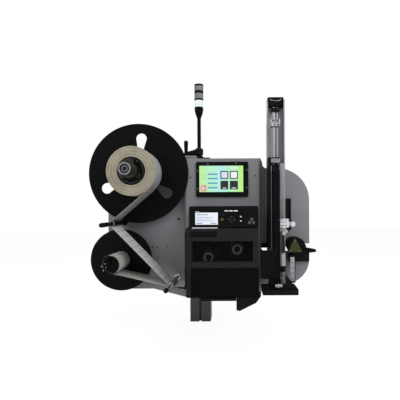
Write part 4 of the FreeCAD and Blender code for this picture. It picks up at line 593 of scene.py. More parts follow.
class Blank:
    """A workpiece, from its first primitive to the body that carries it."""

    def __init__(self, name: str) -> None:
        """Take over the object that was added or copied last, with its place in its mesh.

        Args:
            name: the piece's name.
        """
        self.piece = bpy.context.object
        self.piece.name = name
        self.piece.data.name = name
        bpy.ops.object.transform_apply(location=True, rotation=True, scale=True)

    @classmethod
    def block(cls, name: str, first: Vector, second: Vector) -> "Blank":
        """Start from a block.

        Args:
            name: the piece's name.
            first: one corner.
            second: the opposite corner.

        Returns:
            The workpiece.
        """
        bpy.ops.mesh.primitive_cube_add(size=1, location=(first + second) / 2)
        bpy.context.object.scale = [abs(side) for side in second - first]
        return cls(name)

    @classmethod
    def slab(cls, name: str, box: Box, depth: float, rise: float) -> "Blank":
        """Start from a block over left, bottom, right and top in mm, from a depth forward by a rise."""
        left, bottom, right, top = box
        return cls.block(name, at(left, depth, bottom), at(right, depth + rise, top))

    @classmethod
    def rod(cls, name: str, start: Vector, toward: Toward, radius: float, length: float,
            sides: int = 24) -> "Blank":
        """Start from a round or many-sided bar.

        Args:
            name: the piece's name.
            start: the middle of its first end.
            toward: the way in which it grows from there.
            radius: its radius in mm.
            length: its length in mm.
            sides: how many sides it has.

        Returns:
            The workpiece.
        """
        way = toward.vector
        bpy.ops.mesh.primitive_cylinder_add(vertices=sides, radius=radius * MM, depth=length * MM,
                                            location=start + way * (length * MM / 2), rotation=tilt(way))
        return cls(name)

    @classmethod
    def turned(cls, name: str, start: Vector, toward: Toward, profile: Profile, sides: int = 48) -> "Blank":
        """Turn a shape: a circle is extruded from station to station and resized at each.

        Args:
            name: the piece's name.
            start: the point on the axis from which distances count.
            toward: the way in which distances grow.
            profile: distance and radius at each station, in mm. A profile that ends
                where it starts gives a hollow piece.
            sides: how many sides the circle has.

        Returns:
            The workpiece.
        """
        way = toward.vector
        where, radius = profile[0]
        bpy.ops.mesh.primitive_circle_add(
            vertices=sides, radius=radius * MM, fill_type="NOTHING" if profile[0] == profile[-1] else "NGON",
            location=start + way * (where * MM), rotation=tilt(way))
        blank = cls(name)
        blank.open("SELECT")
        for station, wide in profile[1:]:
            move = way * ((station - where) * MM)
            bpy.ops.mesh.extrude_region_move(TRANSFORM_OT_translate={"value": move})
            bpy.ops.transform.resize(value=(wide / radius,) * 3, center_override=start + way * (station * MM))
            where, radius = station, wide
        return blank.close()

    @classmethod
    def bow(cls, name: str, start: Vector, centre: Vector, turn: float, wire: float) -> "Blank":
        """Bend a round wire about an axis along Y.

        Args:
            name: the piece's name.
            start: the middle of the wire's first end.
            centre: a point on the axis of the bend.
            turn: the angle of the bend in degrees.
            wire: the wire's radius in mm.

        Returns:
            The workpiece.
        """
        axis = Toward.BACK.vector
        heading = (start - centre).normalized().cross(axis)
        bpy.ops.mesh.primitive_circle_add(vertices=WIRE_SIDES, radius=wire * MM, fill_type="NGON", location=start,
                                          rotation=tilt(heading))
        blank = cls(name)
        blank.open("SELECT")
        bpy.ops.mesh.spin(steps=BEND_STEPS, angle=math.radians(turn), center=centre, axis=axis)
        return blank.close()

    def hold(self) -> None:
        """Select this piece alone."""
        bpy.ops.object.select_all(action="DESELECT")
        self.piece.select_set(True)
        bpy.context.view_layer.objects.active = self.piece

    def open(self, action: str = "DESELECT") -> None:
        """Enter edit mode on this piece alone.

        Args:
            action: DESELECT for nothing selected, SELECT for all.
        """
        self.hold()
        bpy.ops.object.mode_set(mode="EDIT")
        bpy.ops.mesh.select_mode(type="VERT")
        bpy.ops.mesh.select_all(action=action)

    def close(self) -> "Blank":
        """Merge doubles, turn every face outwards and leave edit mode.

        Returns:
            The workpiece.
        """
        bpy.ops.mesh.select_all(action="SELECT")
        bpy.ops.mesh.remove_doubles(threshold=DOUBLE)
        bpy.ops.mesh.normals_make_consistent(inside=False)
        bpy.ops.object.mode_set(mode="OBJECT")
        return self

    def pick_faces(self, wanted: Test) -> None:
        """Open the piece and select the faces whose middle and normal pass a test.

        Args:
            wanted: the test.
        """
        self.open()
        bpy.ops.mesh.select_mode(type="FACE")
        for face in bmesh.from_edit_mesh(self.piece.data).faces:
            if wanted(face.calc_center_median(), face.normal):
                face.select_set(True)
        bmesh.update_edit_mesh(self.piece.data)

    def pick_edges(self, wanted: Test) -> None:
        """Open the piece and select the edges whose middle and direction pass a test.

        Args:
            wanted: the test.
        """
        self.open()
        bpy.ops.mesh.select_mode(type="EDGE")
        for edge in bmesh.from_edit_mesh(self.piece.data).edges:
            first, second = [corner.co for corner in edge.verts]
            if wanted((first + second) / 2, (second - first).normalized()):
                edge.select_set(True)
        bmesh.update_edit_mesh(self.piece.data)

    def round_edges(self, wanted: Test, radius: float, segments: int = 4) -> "Blank":
        """Round the edges that pass a test.

        Args:
            wanted: the test.
            radius: the radius in mm.
            segments: how many faces each round has.

        Returns:
            The workpiece.
        """
        self.pick_edges(wanted)
        bpy.ops.mesh.bevel(offset=radius * MM, segments=segments, affect="EDGES")
        return self.close()

    def step(self, toward: Toward, margin: float, rise: float) -> "Blank":
        """Raise or sink the middle of the face that looks one way.

        Args:
            toward: the way in which the face looks.
            margin: the width in mm of the border that stays.
            rise: how far the middle comes out, in mm; negative sinks it.

        Returns:
            The workpiece.
        """
        self.pick_faces(facing(toward))
        bpy.ops.mesh.inset(thickness=margin * MM, depth=0)
        bpy.ops.mesh.extrude_region_move(TRANSFORM_OT_translate={"value": toward.vector * rise * MM})
        return self.close()

    def shift(self, wanted: Test, x: float = 0, z: float = 0) -> "Blank":
        """Move the edges that pass a test.

        Args:
            wanted: the test.
            x: how far to the right, in mm.
            z: how far up, in mm.

        Returns:
            The workpiece.
        """
        self.pick_edges(wanted)
        bpy.ops.transform.translate(value=(x * MM, 0, z * MM))
        return self.close()

    def flute(self, axis_point: Vector, sides: int) -> "Blank":
        """Draw every other upright edge of a turned piece towards its axis.

        Args:
            axis_point: a point on the upright axis.
            sides: how many sides the piece has.

        Returns:
            The workpiece.
        """
        turn = 2 * math.pi / sides

        def odd(middle: Vector, line: Vector) -> bool:
            """Tell whether an upright edge has an odd place round the axis."""
            away = middle - axis_point
            return abs(line.z) > PARALLEL and round(math.atan2(away.y, away.x) / turn + sides) % 2 == 1

        self.pick_edges(odd)
        bpy.ops.transform.resize(value=(FLUTE, FLUTE, 1), center_override=axis_point)
        return self.close()

    def modify(self, kind: str, **settings: object) -> "Blank":
        """Add a modifier with its settings, and apply it.

        Args:
            kind: the modifier's type.
            settings: its attributes by name.

        Returns:
            The workpiece.
        """
        self.hold()
        modifier = self.piece.modifiers.new("work", kind)
        for name, value in settings.items():
            setattr(modifier, name, value)
        bpy.ops.object.modifier_apply(modifier=modifier.name)
        return self

    def soften(self, width: float, segments: int = 2) -> "Blank":
        """Break every sharp edge by a width in mm."""
        return self.modify("BEVEL", width=width * MM, segments=segments, limit_method="ANGLE", angle_limit=SHARP)

    def cut(self, tool: "Blank") -> "Blank":
        """Cut another workpiece's shape out of this one, and scrap the tool.

        Args:
            tool: the other workpiece.

        Returns:
            The workpiece.
        """
        self.modify("BOOLEAN", operation="DIFFERENCE", solver="EXACT", object=tool.piece)
        tool.scrap()
        return self

    def scrap(self) -> None:
        """Delete this piece."""
        self.hold()
        bpy.ops.object.delete()

    def copy(self, name: str, matrix: Matrix) -> "Blank":
        """Copy this piece with a mesh of its own.

        Args:
            name: the copy's name.
            matrix: where it goes.

        Returns:
            The copy.
        """
        self.hold()
        bpy.ops.object.duplicate(linked=False)
        bpy.context.object.matrix_world = matrix
        return Blank(name)

    def spread(self, matrices: Sequence[Matrix]) -> "Blank":
        """Join copies of this piece to it, each moved by a matrix."""
        return self.join(*[self.copy("%s_%d" % (self.piece.name, count), matrix)
                           for count, matrix in enumerate(matrices, 1)])

    def row(self, count: int, x: float = 0, z: float = 0) -> "Blank":
        """Repeat this piece at a pitch of x and z in mm, and join the copies to it."""
        pitch = Vector((x, 0, z)) * MM
        return self.spread([Matrix.Translation(pitch * place) for place in range(1, count)])

    def join(self, *others: "Blank") -> "Blank":
        """Join other workpieces to this one.

        Args:
            others: the workpieces.

        Returns:
            The workpiece.
        """
        self.hold()
        for other in others:
            other.piece.select_set(True)
        bpy.ops.object.join()
        return self

    def paint(self, finish: Finish, wanted: Test) -> "Blank":
        """Give a second finish to the faces that pass a test.

        Args:
            finish: the second finish.
            wanted: the test.

        Returns:
            The workpiece.
        """
        slots = self.piece.data.materials
        slots.append(None)
        slots.append(finish.material())
        self.pick_faces(wanted)
        self.piece.active_material_index = 1
        bpy.ops.object.material_slot_assign()
        bpy.ops.object.mode_set(mode="OBJECT")
        return self

    def fit(self, body: str, finish: Finish, *nodes: str) -> None:
        """Smooth and finish the piece, and fit it to a body.

        Args:
            body: the body that carries it.
            finish: its main finish.
            nodes: the CAD nodes that it stands for.
        """
        self.hold()
        bpy.ops.object.shade_smooth_by_angle(angle=SMOOTH)
        slots = self.piece.data.materials
        if slots:
            slots[0] = finish.material()
        else:
            slots.append(finish.material())
        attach(self.piece, body)
        if nodes:
            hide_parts(*nodes)
        LOG.info("fitted %s to %s in %s", self.piece.name, body, finish.name)


@dataclass(frozen=True)
class CapScrew:
    """A socket cap screw, set one or many at a time."""

    radius: float
    height: float
    finish: Finish = BLACK_SCREW

    def drive(self, name: str, body: str, toward: Toward, spots: Sequence[Vector]) -> None:
        """Set one screw at each place, all in one piece.

        Args:
            name: the piece's name.
            body: the body that carries the screws.
            toward: the way in which the heads stand.
            spots: where the heads sit.
        """
        head = Blank.rod(name, spots[0], toward, self.radius, self.height, 20)
        mouth = spots[0] + toward.vector * (self.height * SOCKET_FOOT * MM)
        head.cut(Blank.rod("socket", mouth, toward, self.radius * SOCKET_WIDTH, self.height, 6))
        head.soften(self.radius * SCREW_EDGE, 1)
        head.spread([Matrix.Translation(spot - spots[0]) for spot in spots[1:]]).fit(body, self.finish)

    def face(self, name: str, depth: float, *spots: Spot, body: str = "head") -> None:
        """Set screws that look to the front at one depth, from their x and z in mm, all in one piece."""
        self.drive(name, body, Toward.OUT, places(depth, *spots))


class Dresser:
    """Gives finishes to CAD nodes, and lays thin marks."""

    @staticmethod
    def dress(finish: Finish, *names: str) -> None:
        """Put one finish on CAD nodes, which keep their meshes.

        Args:
            finish: the finish.
            names: the nodes' names.
        """
        for name in names:
            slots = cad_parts[name].data.materials
            slots.clear()
            slots.append(finish.material())
            LOG.info("dressed %s in %s", name, finish.name)

    @staticmethod
    def tile(name: str, box: Box, depth: float, rise: float, corner: float) -> Blank:
        """Start a thin slab with corners of a radius in mm."""
        return Blank.slab(name, box, depth, rise).round_edges(along(Axis.Y), corner)


@dataclass
class LiftColumn(Dresser):
    """The slotted stand column, its end cap and the height crank."""

    axis_depth: float = -58
    pin_x: float = -50

    def build(self) -> None:
        """Dress the column and build its crank and screws."""
        self.dress(COLUMN_ANODISED, "stand_column")
        self.dress(BLACK_ANODISED, "column_cap")
        self.dress(GROUND_ROD, "lift_spindle")
        self.dress(MILLED_ALUMINIUM, "carriage")
        self.add_crank()
        self.add_grip()
        CapScrew(5, 4).drive("carriage_screws", "head", Toward.LEFT, [
            at(-62, depth, z) for depth in (-30, -115) for z in (420, 470, 520)])

    def add_crank(self) -> None:
        """Build the hub, its wedge arm, the pin that holds the grip and the nut."""
        depth = self.axis_depth
        crank = Blank.turned("crank_handle", at(0, depth, 642), Toward.UP, [
            (0, 11), (3, 11), (4, 15.6), (22, 16.4), (27, 15), (30, 11)])
        arm = Blank.slab("crank_web", (-59, 644, -5, 655), depth - 9, 18)
        arm.shift(along(Axis.Y, lambda middle: middle.x > -0.01 and middle.z > 0.65), z=14)
        arm.round_edges(along(Axis.Z, lambda middle: middle.x < -0.05), 8).soften(1.2)
        pin = Blank.turned("crank_pin", at(self.pin_x, depth, 650), Toward.UP, [
            (0, 4), (49, 4), (49, 6), (51.2, 6), (51.8, 5)])
        nut = Blank.rod("crank_nut", at(0, depth, 670), Toward.UP, 7, 2.4, 6)
        crank.join(arm, pin, nut).fit("crank", BLACK_POWDER, "crank_arm")

    def add_grip(self) -> None:
        """Turn the grip, a little narrower at its foot."""
        grip = Blank.turned("crank_spinner", at(self.pin_x, self.axis_depth, 655.6), Toward.UP, [
            (0, 5.4), (1.5, 6.4), (14, 7), (30, 7.8), (41.4, 8.2), (42.6, 7.6), (43, 5)])
        grip.fit("grip", BLACK_ABS, "crank_grip")


@dataclass
class SignalLamp(Dresser):
    """The signal lamp on its pole: three fluted lenses between black rings."""

    middle: Spot = (-7, -140)
    radius: float = 18.2
    facets: int = 48
    lenses: tuple[tuple[str, Finish, float, float], ...] = (
        ("lens_lit", LIT_LENS, 850, 877), ("lens_middle", DULL_LENS, 883, 906), ("lens_top", DULL_LENS, 915, 936))

    def build(self) -> None:
        """Dress the rings, turn the pole with its bulging neck, and build the lenses."""
        self.dress(BLACK_ABS, "lamp_rings")
        pole = Blank.turned("lamp_stem", at(*self.middle, 640), Toward.UP, [
            (0, 15), (3, 15), (5, 12), (9, 7.4), (164, 7.4), (168, 8.6), (176, 11.8), (187, 15.4), (198, 17.4),
            (206, 18), (210, 17)], 40)
        pole.fit("stand", BLACK_ABS, "lamp_pole")
        for name, finish, foot, top in self.lenses:
            self.add_lens(name, finish, foot, top - foot)

    def add_lens(self, name: str, finish: Finish, foot: float, span: float) -> None:
        """Turn and flute one lens.

        Args:
            name: the lens's name.
            finish: its lit or dull finish.
            foot: the height of its foot in mm.
            span: its own height in mm.
        """
        start = at(*self.middle, foot)
        wide = self.radius
        edge = wide - 1.2
        lens = Blank.turned(name, start, Toward.UP, [
            (0, edge), (0.1, edge), (1.6, wide), (span - 1.6, wide), (span - 0.1, edge), (span, edge)],
            self.facets)
        lens.flute(start, self.facets).fit("stand", finish, "lamp_lenses")


@dataclass
class MainPlate(Dresser):
    """The main plate, its folded cover and the cabinet behind it."""

    cover_depth: float = 40

    def build(self) -> None:
        """Dress what is folded from sheet, and add what is fixed to it."""
        self.dress(GREY_POWDER, "main_plate")
        # The cover's copy of the plate's powder is painted a shade darker, as painted shade against the light it
        # catches.
        self.dress(SHADED_COVER_POWDER, "front_cover")
        self.dress(CABINET_POWDER, "rear_cabinet")
        CapScrew(2.6, 1.4).face("plate_screws", 0, (-168.6, 298), (-150, 298), (-148.6, 260), (-112, 300))
        CapScrew(4.4, 1.6).face("plate_grommet", 0, (-71, 402))
        CapScrew(2.8, 1.2).face("cover_screws", self.cover_depth, (-22.4, 552.5), (210, 558))
        # The dark slide covers the upper half of the slot by the applicator.
        Blank.slab("slot_slide", (226, 295, 262, 313), 0, 1.6).soften(0.6).fit("head", BLACK_ANODISED)
        self.add_cabinet_door()

    def add_cabinet_door(self) -> None:
        """Hang a door with a lock, hinges and glands on the cabinet's back."""
        low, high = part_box("rear_cabinet")
        margin = 0.006
        face = high.y + 0.002
        door = Blank.block("cabinet_door", Vector((low.x + margin, high.y, low.z + margin)),
                           Vector((high.x - margin, face, high.z - margin)))
        door.round_edges(along(Axis.Y), 5).soften(0.4)
        door.fit("head", CABINET_POWDER)
        hinge = Blank.rod("cabinet_hinges", Vector((low.x + 0.01, high.y + 0.004, low.z + 0.04)), Toward.UP, 4, 36)
        hinge.row(2, z=210).soften(0.6, 1).fit("head", BLACK_POWDER)
        lock = Blank.turned("cabinet_lock", Vector((high.x - 0.02, face, (low.z + high.z) / 2)), Toward.BACK, [
            (0, 9), (2.5, 9), (3.4, 8), (3.4, 4), (1.6, 3.6)])
        lock.fit("head", CHROME)
        gland = Blank.turned("cable_glands", Vector((low.x + 0.03, (low.y + high.y) / 2, low.z)), Toward.DOWN, [
            (0, 11), (5, 11), (5, 9.4), (14, 8.8), (16, 7), (16, 3.5), (10, 3.2)], 24)
        gland.row(4, x=31).fit("head", BLACK_ABS)


@dataclass
class OperatorScreen(Dresser):
    """The operator's touch screen, with what it shows as plain fields."""

    face: float = 47
    corner: Spot = (9.9, 500)
    fields: tuple[tuple[str, Finish, Box], ...] = (
        ("bar_a", BLUE_FIELD, (30.4, 61, 65.2, 66.4)), ("bar_b", BLUE_FIELD, (30.4, 45.6, 65.2, 51)),
        ("bar_c", BLUE_FIELD, (30.4, 28.8, 65.2, 34.2)), ("bar_d", BLUE_FIELD, (30.4, 12.7, 65.2, 18.1)),
        ("tile_a", DARK_FIELD, (75.5, 46.5, 103.5, 75)), ("tile_b", DARK_FIELD, (109, 46.5, 138, 75)),
        ("tile_c", DARK_FIELD, (75.5, 9, 103.5, 40)), ("tile_d", DARK_FIELD, (109, 9, 138, 40)),
        ("warning", RED_FIELD, (4, 2, 25, 25)), ("status", PALE_FIELD, (109, 84, 138, 88)))
    marks: tuple[tuple[str, Finish, Box], ...] = (
        ("mark_a", PALE_FIELD, (79, 50, 100, 71.5)), ("mark_b", PALE_FIELD, (112.5, 50, 134.5, 71.5)),
        ("mark_c", PALE_FIELD, (83, 12.5, 96, 15.5)), ("mark_d", PALE_FIELD, (116, 12.5, 131, 15.5)),
        ("mark_e", PALE_FIELD, (10, 8, 19, 19)))

    def build(self) -> None:
        """Dress the housing, light the glass and lay the fields and the marks on it."""
        self.dress(GLOSS_BLACK, "hmi_housing")
        self.dress(SCREEN_GLOW, "hmi_screen")
        left, foot = self.corner
        thick = 0.15
        for lift, layer in ((0, self.fields), (thick, self.marks)):
            for name, finish, box in layer:
                place = (box[0] + left, box[1] + foot, box[2] + left, box[3] + foot)
                self.tile("screen_" + name, place, self.face + lift, thick, 0.8).fit("head", finish)
        dial = Blank.turned("screen_ring", at(left + 16, self.face, foot + 54), Toward.OUT, ring(6, 7, 0.2), 32)
        dial.fit("head", BLUE_FIELD)
        CapScrew(2, 0.8, ZINC).face("bezel_screws", self.face, (4.2, 576), (4.2, 512), (179.4, 579),
                                    (179.4, 515), (40.7, 601), (141.6, 602))


@dataclass
class Unwind(Dresser):
    """The label unwind: brake, disc, expanding mandrel, core and the wound labels."""

    axis: Spot = (-208, 568)
    roll_start: float = 44.5
    roll_width: float = 104
    roll_radius: float = 83
    core_radius: float = 47.6

    def build(self) -> None:
        """Dress the unwind and wind its roll."""
        disc = Turned("turned_black_disc", "black_anodised", "#060606", "#0b0b0c", roughness=0.45, level=0.03,
                      middle=self.axis)
        self.dress(BLACK_ANODISED, "unwind_brake")
        self.dress(BLACK_SCREW, "supply_shaft")
        self.dress(disc, "supply_disc")
        self.dress(GLOSS_NYLON, "supply_mandrel", "supply_knob")
        self.add_roll()
        self.add_leaves()
        self.add_tip()

    def add_roll(self) -> None:
        """Wind the labels: fine turns on both ends and smooth stock round the side."""
        face = WoundPaper("wound_label_paper", "label_paper", "#645f51", "#868171", roughness=0.75, level=0.2,
                          middle=self.axis, pitch=1.1, depth=0.05)
        outer, inner, width = self.roll_radius, self.core_radius, self.roll_width
        roll = Blank.turned("label_windings", at(self.axis[0], self.roll_start, self.axis[1]), Toward.OUT, [
            (0, inner), (0, outer - 0.5), (0.6, outer), (width - 0.6, outer), (width, outer - 0.5),
            (width, inner), (0, inner)], 96)
        roll.paint(LABEL_STOCK, wound(self.axis, outer - 5)).fit("supply", face, "label_roll")

    def add_leaves(self) -> None:
        """Build the glossy leaves of the mandrel that grip the core from within."""
        x, z = self.axis
        hexagon = Blank.rod("mandrel_leaves", at(x, 45, z), Toward.OUT, 47.4, 101, 6)
        hexagon.round_edges(along(Axis.Y), 14, 5).step(Toward.OUT, 5, -16)
        hexagon.soften(1.4).fit("supply", GLOSS_NYLON, "supply_core")
        rib = Blank.slab("mandrel_ribs", (x + 29, z - 2.2, x + 43, z + 2.2), 126, 17)
        centre = at(x, 0, z)
        rib.soften(1.2).spread([
            Matrix.Translation(centre) @ Matrix.Rotation(math.radians(turn), 4, "Y") @ Matrix.Translation(-centre)
            for turn in range(60, 360, 60)]).fit("supply", GLOSS_NYLON)

    def add_tip(self) -> None:
        """Set the bright rings in the shaft's tip, and four screws in the brake's flange."""
        x, z = self.axis
        rim = Blank.turned("tip_rim", at(x, 225, z), Toward.OUT, [
            (0, 15.2), (0, 20.2), (1.6, 20.2), (2.2, 19.4), (2.2, 16), (1.6, 15.2), (0, 15.2)])
        rim.fit("supply", BRUSHED_STEEL)
        boss = Blank.turned("tip_boss", at(x, 213.9, z), Toward.OUT, [
            (0, 7.2), (0, 10.4), (9.6, 10.4), (10.4, 9.6), (10.4, 7.2), (0, 7.2)], 36)
        boss.fit("supply", BRUSHED_STEEL)
        CapScrew(3, 3).drive("brake_screws", "head", Toward.BACK, square(self.axis, -58, 30))


@dataclass
class Rewind(Dresser):
    """The liner rewind: gearmotor, disc, mandrel and the wound liner."""

    axis: Spot = (-271, 259)

    def build(self) -> None:
        """Dress the rewind, and add its windings, rim, studs and screws."""
        x, z = self.axis
        disc = Turned("turned_charcoal_disc", "black_anodised", "#080909", "#0d0e0e", roughness=0.45, level=0.03,
                      middle=self.axis)
        self.dress(BLACK_ANODISED, "rewind_gearmotor", "rewind_clip")
        self.dress(BLACK_ABS, "rewind_mandrel")
        self.dress(disc, "rewind_disc")
        self.add_windings()
        rim = Blank.turned("mandrel_rim", at(x, 174.9, z), Toward.OUT, [
            (0, 24.3), (0, 30.6), (1.2, 30.6), (1.6, 30), (1.6, 24.3), (0, 24.3)], 72)
        rim.fit("rewind", BLACK_ABS)
        CapScrew(1.5, 1, CHROME).drive("mandrel_studs", "rewind", Toward.OUT, [
            at(x + right, depth, z + up) for right, up, depth in (
                (-15, -8, 168), (-9, -17, 168), (-18, 3, 168), (-21, -17.5, 176.4), (-26.8, -4, 176.4))])
        CapScrew(3, 3).drive("motor_screws", "head", Toward.BACK, square(self.axis, -86, 18))

    def add_windings(self) -> None:
        """Wind the bare liner, pale round its side and darker at its ends."""
        paper = WoundPaper("wound_liner", "liner_paper", "#4c4c48", "#6a6a64", roughness=0.6, middle=self.axis,
                           pitch=0.9, band=5)
        windings = Blank.turned("liner_windings", at(self.axis[0], 44.5, self.axis[1]), Toward.OUT, [
            (0, 24.2), (0, 30.6), (0.5, 31), (130, 31), (130.5, 30.6), (130.5, 24.2), (0, 24.2)], 72)
        windings.paint(LINER, wound(self.axis, 28)).fit("rewind", paper, "rewind_roll")


@dataclass
class WebGuides(Dresser):
    """The guide rollers, the web with its blanks and the bare liner."""

    upper: Spot = (-272, 392)
    lower: Spot = (-76, 190)
    blank_width: float = 98
    blank_length: float = 22
    gap: float = 3
    middle_depth: float = 97
    runs: tuple[tuple[str, Finish, Spot, Spot], ...] = (
        ("falling_blanks", SHADED_PAPER, (-153.5, 504.3), (-277.4, 398.3)),
        ("crossing_blanks", BLANK_PAPER, (-277.9, 386.2), (-81.2, 184.9)),
        ("level_blanks", BLANK_PAPER, (-76, 182.7), (213, 182.7)))

    def build(self) -> None:
        """Dress the rollers and lay the blanks along the web."""
        self.dress(BLACK_ANODISED, "guide_roller_upper")
        self.add_shafts()
        self.dress(GROUND_SHAFT, "guide_roller_lower")
        self.dress(GLASSINE, "label_web")
        self.dress(LINER, "liner_web")
        for name, finish, first, last in self.runs:
            self.lay_blanks(name, finish, *places(self.middle_depth, first, last))

    def add_shafts(self) -> None:
        """Turn the thick black upper shaft with its pale collar and the thin bright lower one with its end."""
        shafts = "guide_shafts"
        for name, spot, depth, finish, nodes, profile in (
                ("upper_guide_shaft", self.upper, 0, BLACK_ANODISED, [shafts], [
                    (0, 12), (5, 12), (6, 7.4), (8, 5.8), (150, 3.2), (186, 3.2), (188, 7.2), (252, 7.4),
                    (255, 6.6), (256, 5)]),
                ("guide_collar", self.upper, 148.9, GLASSINE, [], ring(5.6, 8.6, 3)),
                ("lower_guide_shaft", self.lower, 0, GROUND_SHAFT, [shafts], [
                    (0, 11), (5, 11), (6, 6.4), (8, 4.6), (152, 4.6), (240, 3.6)]),
                ("lower_shaft_end", self.lower, 236, BLACK_ABS, [], [
                    (0, 4.8), (1, 6.6), (17, 6.8), (19.5, 5.8), (20, 4)])):
            Blank.turned(name, at(spot[0], depth, spot[1]), Toward.OUT, profile, 32).fit("head", finish, *nodes)

    def lay_blanks(self, name: str, finish: Finish, first: Vector, last: Vector) -> None:
        """Lay plain blanks along one straight run of the web.

        Args:
            name: the blanks' name.
            finish: what they look like.
            first: where the run starts, in the middle of the web's width.
            last: where it ends.
        """
        heading = (last - first).normalized()
        across = Toward.BACK.vector
        turn = Matrix((heading, across, heading.cross(across))).transposed().to_4x4()
        half = self.blank_width * MM / 2
        thick = 0.00015
        blank = Blank.block(name, Vector((0, -half, 0)), Vector((self.blank_length * MM, half, thick)))
        blank.round_edges(along(Axis.Z), 2.5)
        pitch = (self.blank_length + self.gap) * MM
        run = (last - first).length
        count = int(run / pitch)
        offset = (run - count * pitch + self.gap * MM) / 2
        laid = [blank.copy("%s_%d" % (name, place),
                           Matrix.Translation(first + heading * (offset + place * pitch)) @ turn)
                for place in range(count)]
        blank.scrap()
        laid[0].piece.name = name
        laid[0].join(*laid[1:]).fit("head", finish)


@dataclass
class PrintEngine(Dresser):
    """The print engine with its panel, door, window, ribbon and guard."""

    panel_face: float = 220
    door_face: float = 222
    key_face: float = 221.4
    spool_radius: float = 22
    spool_width: float = 147
    spools: tuple[tuple[str, Spot], ...] = (("ribbon_supply", (143, 310)), ("ribbon_rewind", (51, 285)))
    marks: tuple[tuple[str, str, Finish, Spot, float], ...] = (
        ("arrow_up", "arrow_key", DIM_MARK, (126, 415.5), 1.8),
        ("arrow_down", "arrow_key", DIM_MARK, (126, 398.5), 1.8),
        ("arrow_left", "arrow_key", DIM_MARK, (117.5, 407), 1.8),
        ("arrow_right", "arrow_key", DIM_MARK, (134.5, 407), 1.8),
        ("line_key_mark", "line_key", PALE_MARK, (155, 416), 2.5),
        ("feed_key_mark", "feed_key", PALE_MARK, (155, 402), 2.5))
    lines: tuple[tuple[str, Box], ...] = (
        ("display_title", (16, 421, 52, 423.4)), ("display_row_a", (16, 413, 66, 414.4)),
        ("display_row_b", (16, 407.6, 58, 409)), ("display_row_c", (16, 402.2, 70, 403.6)),
        ("display_soft_key", (16, 393.6, 34, 397)), ("display_soft_key_b", (60, 393.6, 78, 397)))

    def build(self) -> None:
        """Dress the engine and add its small parts."""
        self.dress(BLACK_POWDER, "engine_frame", "outfeed_guard")
        self.dress(DEEP_ABS, "engine_casing")
        self.dress(GLOSS_BLACK, "control_panel")
        self.dress(DISPLAY_GLOW, "panel_display")
        # The door's lower part is painted darker: painted shade under its crease.
        self.dress(DOOR_ABS_SHADED_BELOW, "engine_door")
        self.dress(SMOKED, "door_window")
        self.dress(RUBBER, "arrow_key", "line_key", "feed_key", "platen_roller")
        self.dress(BLACK_ANODISED, "print_head")
        self.dress(BLACK_ABS, "head_lever")
        for body, spot in self.spools:
            self.add_spool(body, spot)
        self.add_panel_parts()
        self.add_door_parts()
        CapScrew(2.6, 1.6).face("guard_screws", 204, (150, 170), (180, 170), (210, 170))

    def add_spool(self, body: str, spot: Spot) -> None:
        """Wind one ribbon spool on its pale core, with a dark hub.

        Args:
            body: the body that carries it.
            spot: its axis's x and z in mm.
        """
        radius, width = self.spool_radius, self.spool_width
        for name, finish, profile in (
                ("_ribbon", RIBBON, [
                    (0, 16), (0, radius), (width - 1, radius), (width, radius - 1), (width, 16), (0, 16)]),
                ("_core", RIBBON_CORE, [
                    (0, 10), (0, 16.5), (width - 0.8, 16.5), (width, 15.8), (width, 10), (0, 10)]),
                ("_hub", BLACK_ABS, [
                    (0, 9.9), (width - 2, 9.9), (width - 0.6, 8.8), (width - 0.6, 4), (width - 4, 3.6)])):
            spool = Blank.turned(body + name, at(spot[0], 47, spot[1]), Toward.OUT, profile)
            spool.fit(body, finish, body + "_spool")

    def add_panel_parts(self) -> None:
        """Add the panel's windows, lamps, pads, key marks and the display's lines."""
        face = self.panel_face
        window = self.tile("status_windows", (104, 432.4, 116, 435.6), face, 0.4, 1)
        window.row(3, x=14.5).fit("head", PALE_FIELD)
        self.tile("panel_line", (12.5, 430.8, 24, 432.2), face, 0.3, 0.5).fit("head", PALE_MARK)
        for name, finish, spots, profile in (
                ("panel_sensor", CHARCOAL_ABS, [(97.8, 422.5)], [(0, 4.2), (0.8, 4.2), (1.2, 3.2), (1.4, 1.2)]),
                ("panel_lamp", AMBER, [(96.2, 406.8)], [(0, 4.6), (0.8, 4.6), (1.5, 3.2), (1.8, 1.2)]),
                ("panel_pads", DIM_MARK, [(189.4, 407.4), (181.9, 397.3), (195, 396.4)],
                 [(0, 5), (1, 5), (1.4, 4.2), (1.2, 3.2), (1.2, 1)])):
            first, *others = [Blank.turned(name, spot, Toward.OUT, profile, 24) for spot in places(face, *spots)]
            first.join(*others).fit("head", finish)
        for name, box in self.lines:
            self.tile(name, box, face, 0.15, 0.4).fit("head", DISPLAY_LINE)
        for name, body, finish, (x, z), half in self.marks:
            box = (x - half, z - 1.5, x + half, z + 1.5)
            self.tile(name, box, self.key_face, 0.2, 0.9).fit(body, finish)

    def add_door_parts(self) -> None:
        """Add the door's badge field, a pale lip that paints the casing edge's highlight, the hinge strip, and the
        casing's side vents.
        """
        # A pale strip of label stock under the panel: painted highlight along the casing's edge.
        self.tile("casing_lip", (2, 378, 82, 382.6), 220.4, 1.4, 1).fit("head", LABEL_STOCK)
        self.tile("bare_badge", (-4, 352, 80, 370), self.door_face, 0.6, 2).fit("door", GLOSS_BLACK)
        self.tile("hinge_strip", (-17, 166, -2, 374), self.door_face, 0.5, 0.4).fit("door", CHARCOAL_ABS)
        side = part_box("engine_casing")[0].x
        vent = Blank.block("side_vents", Vector((side - 0.0008, -0.3, 0.225)),
                           Vector((side + 0.0002, -0.23, 0.228)))
        vent.round_edges(along(Axis.X), 1.4, 3).row(9, z=8).fit("head", BLACK_POWDER)


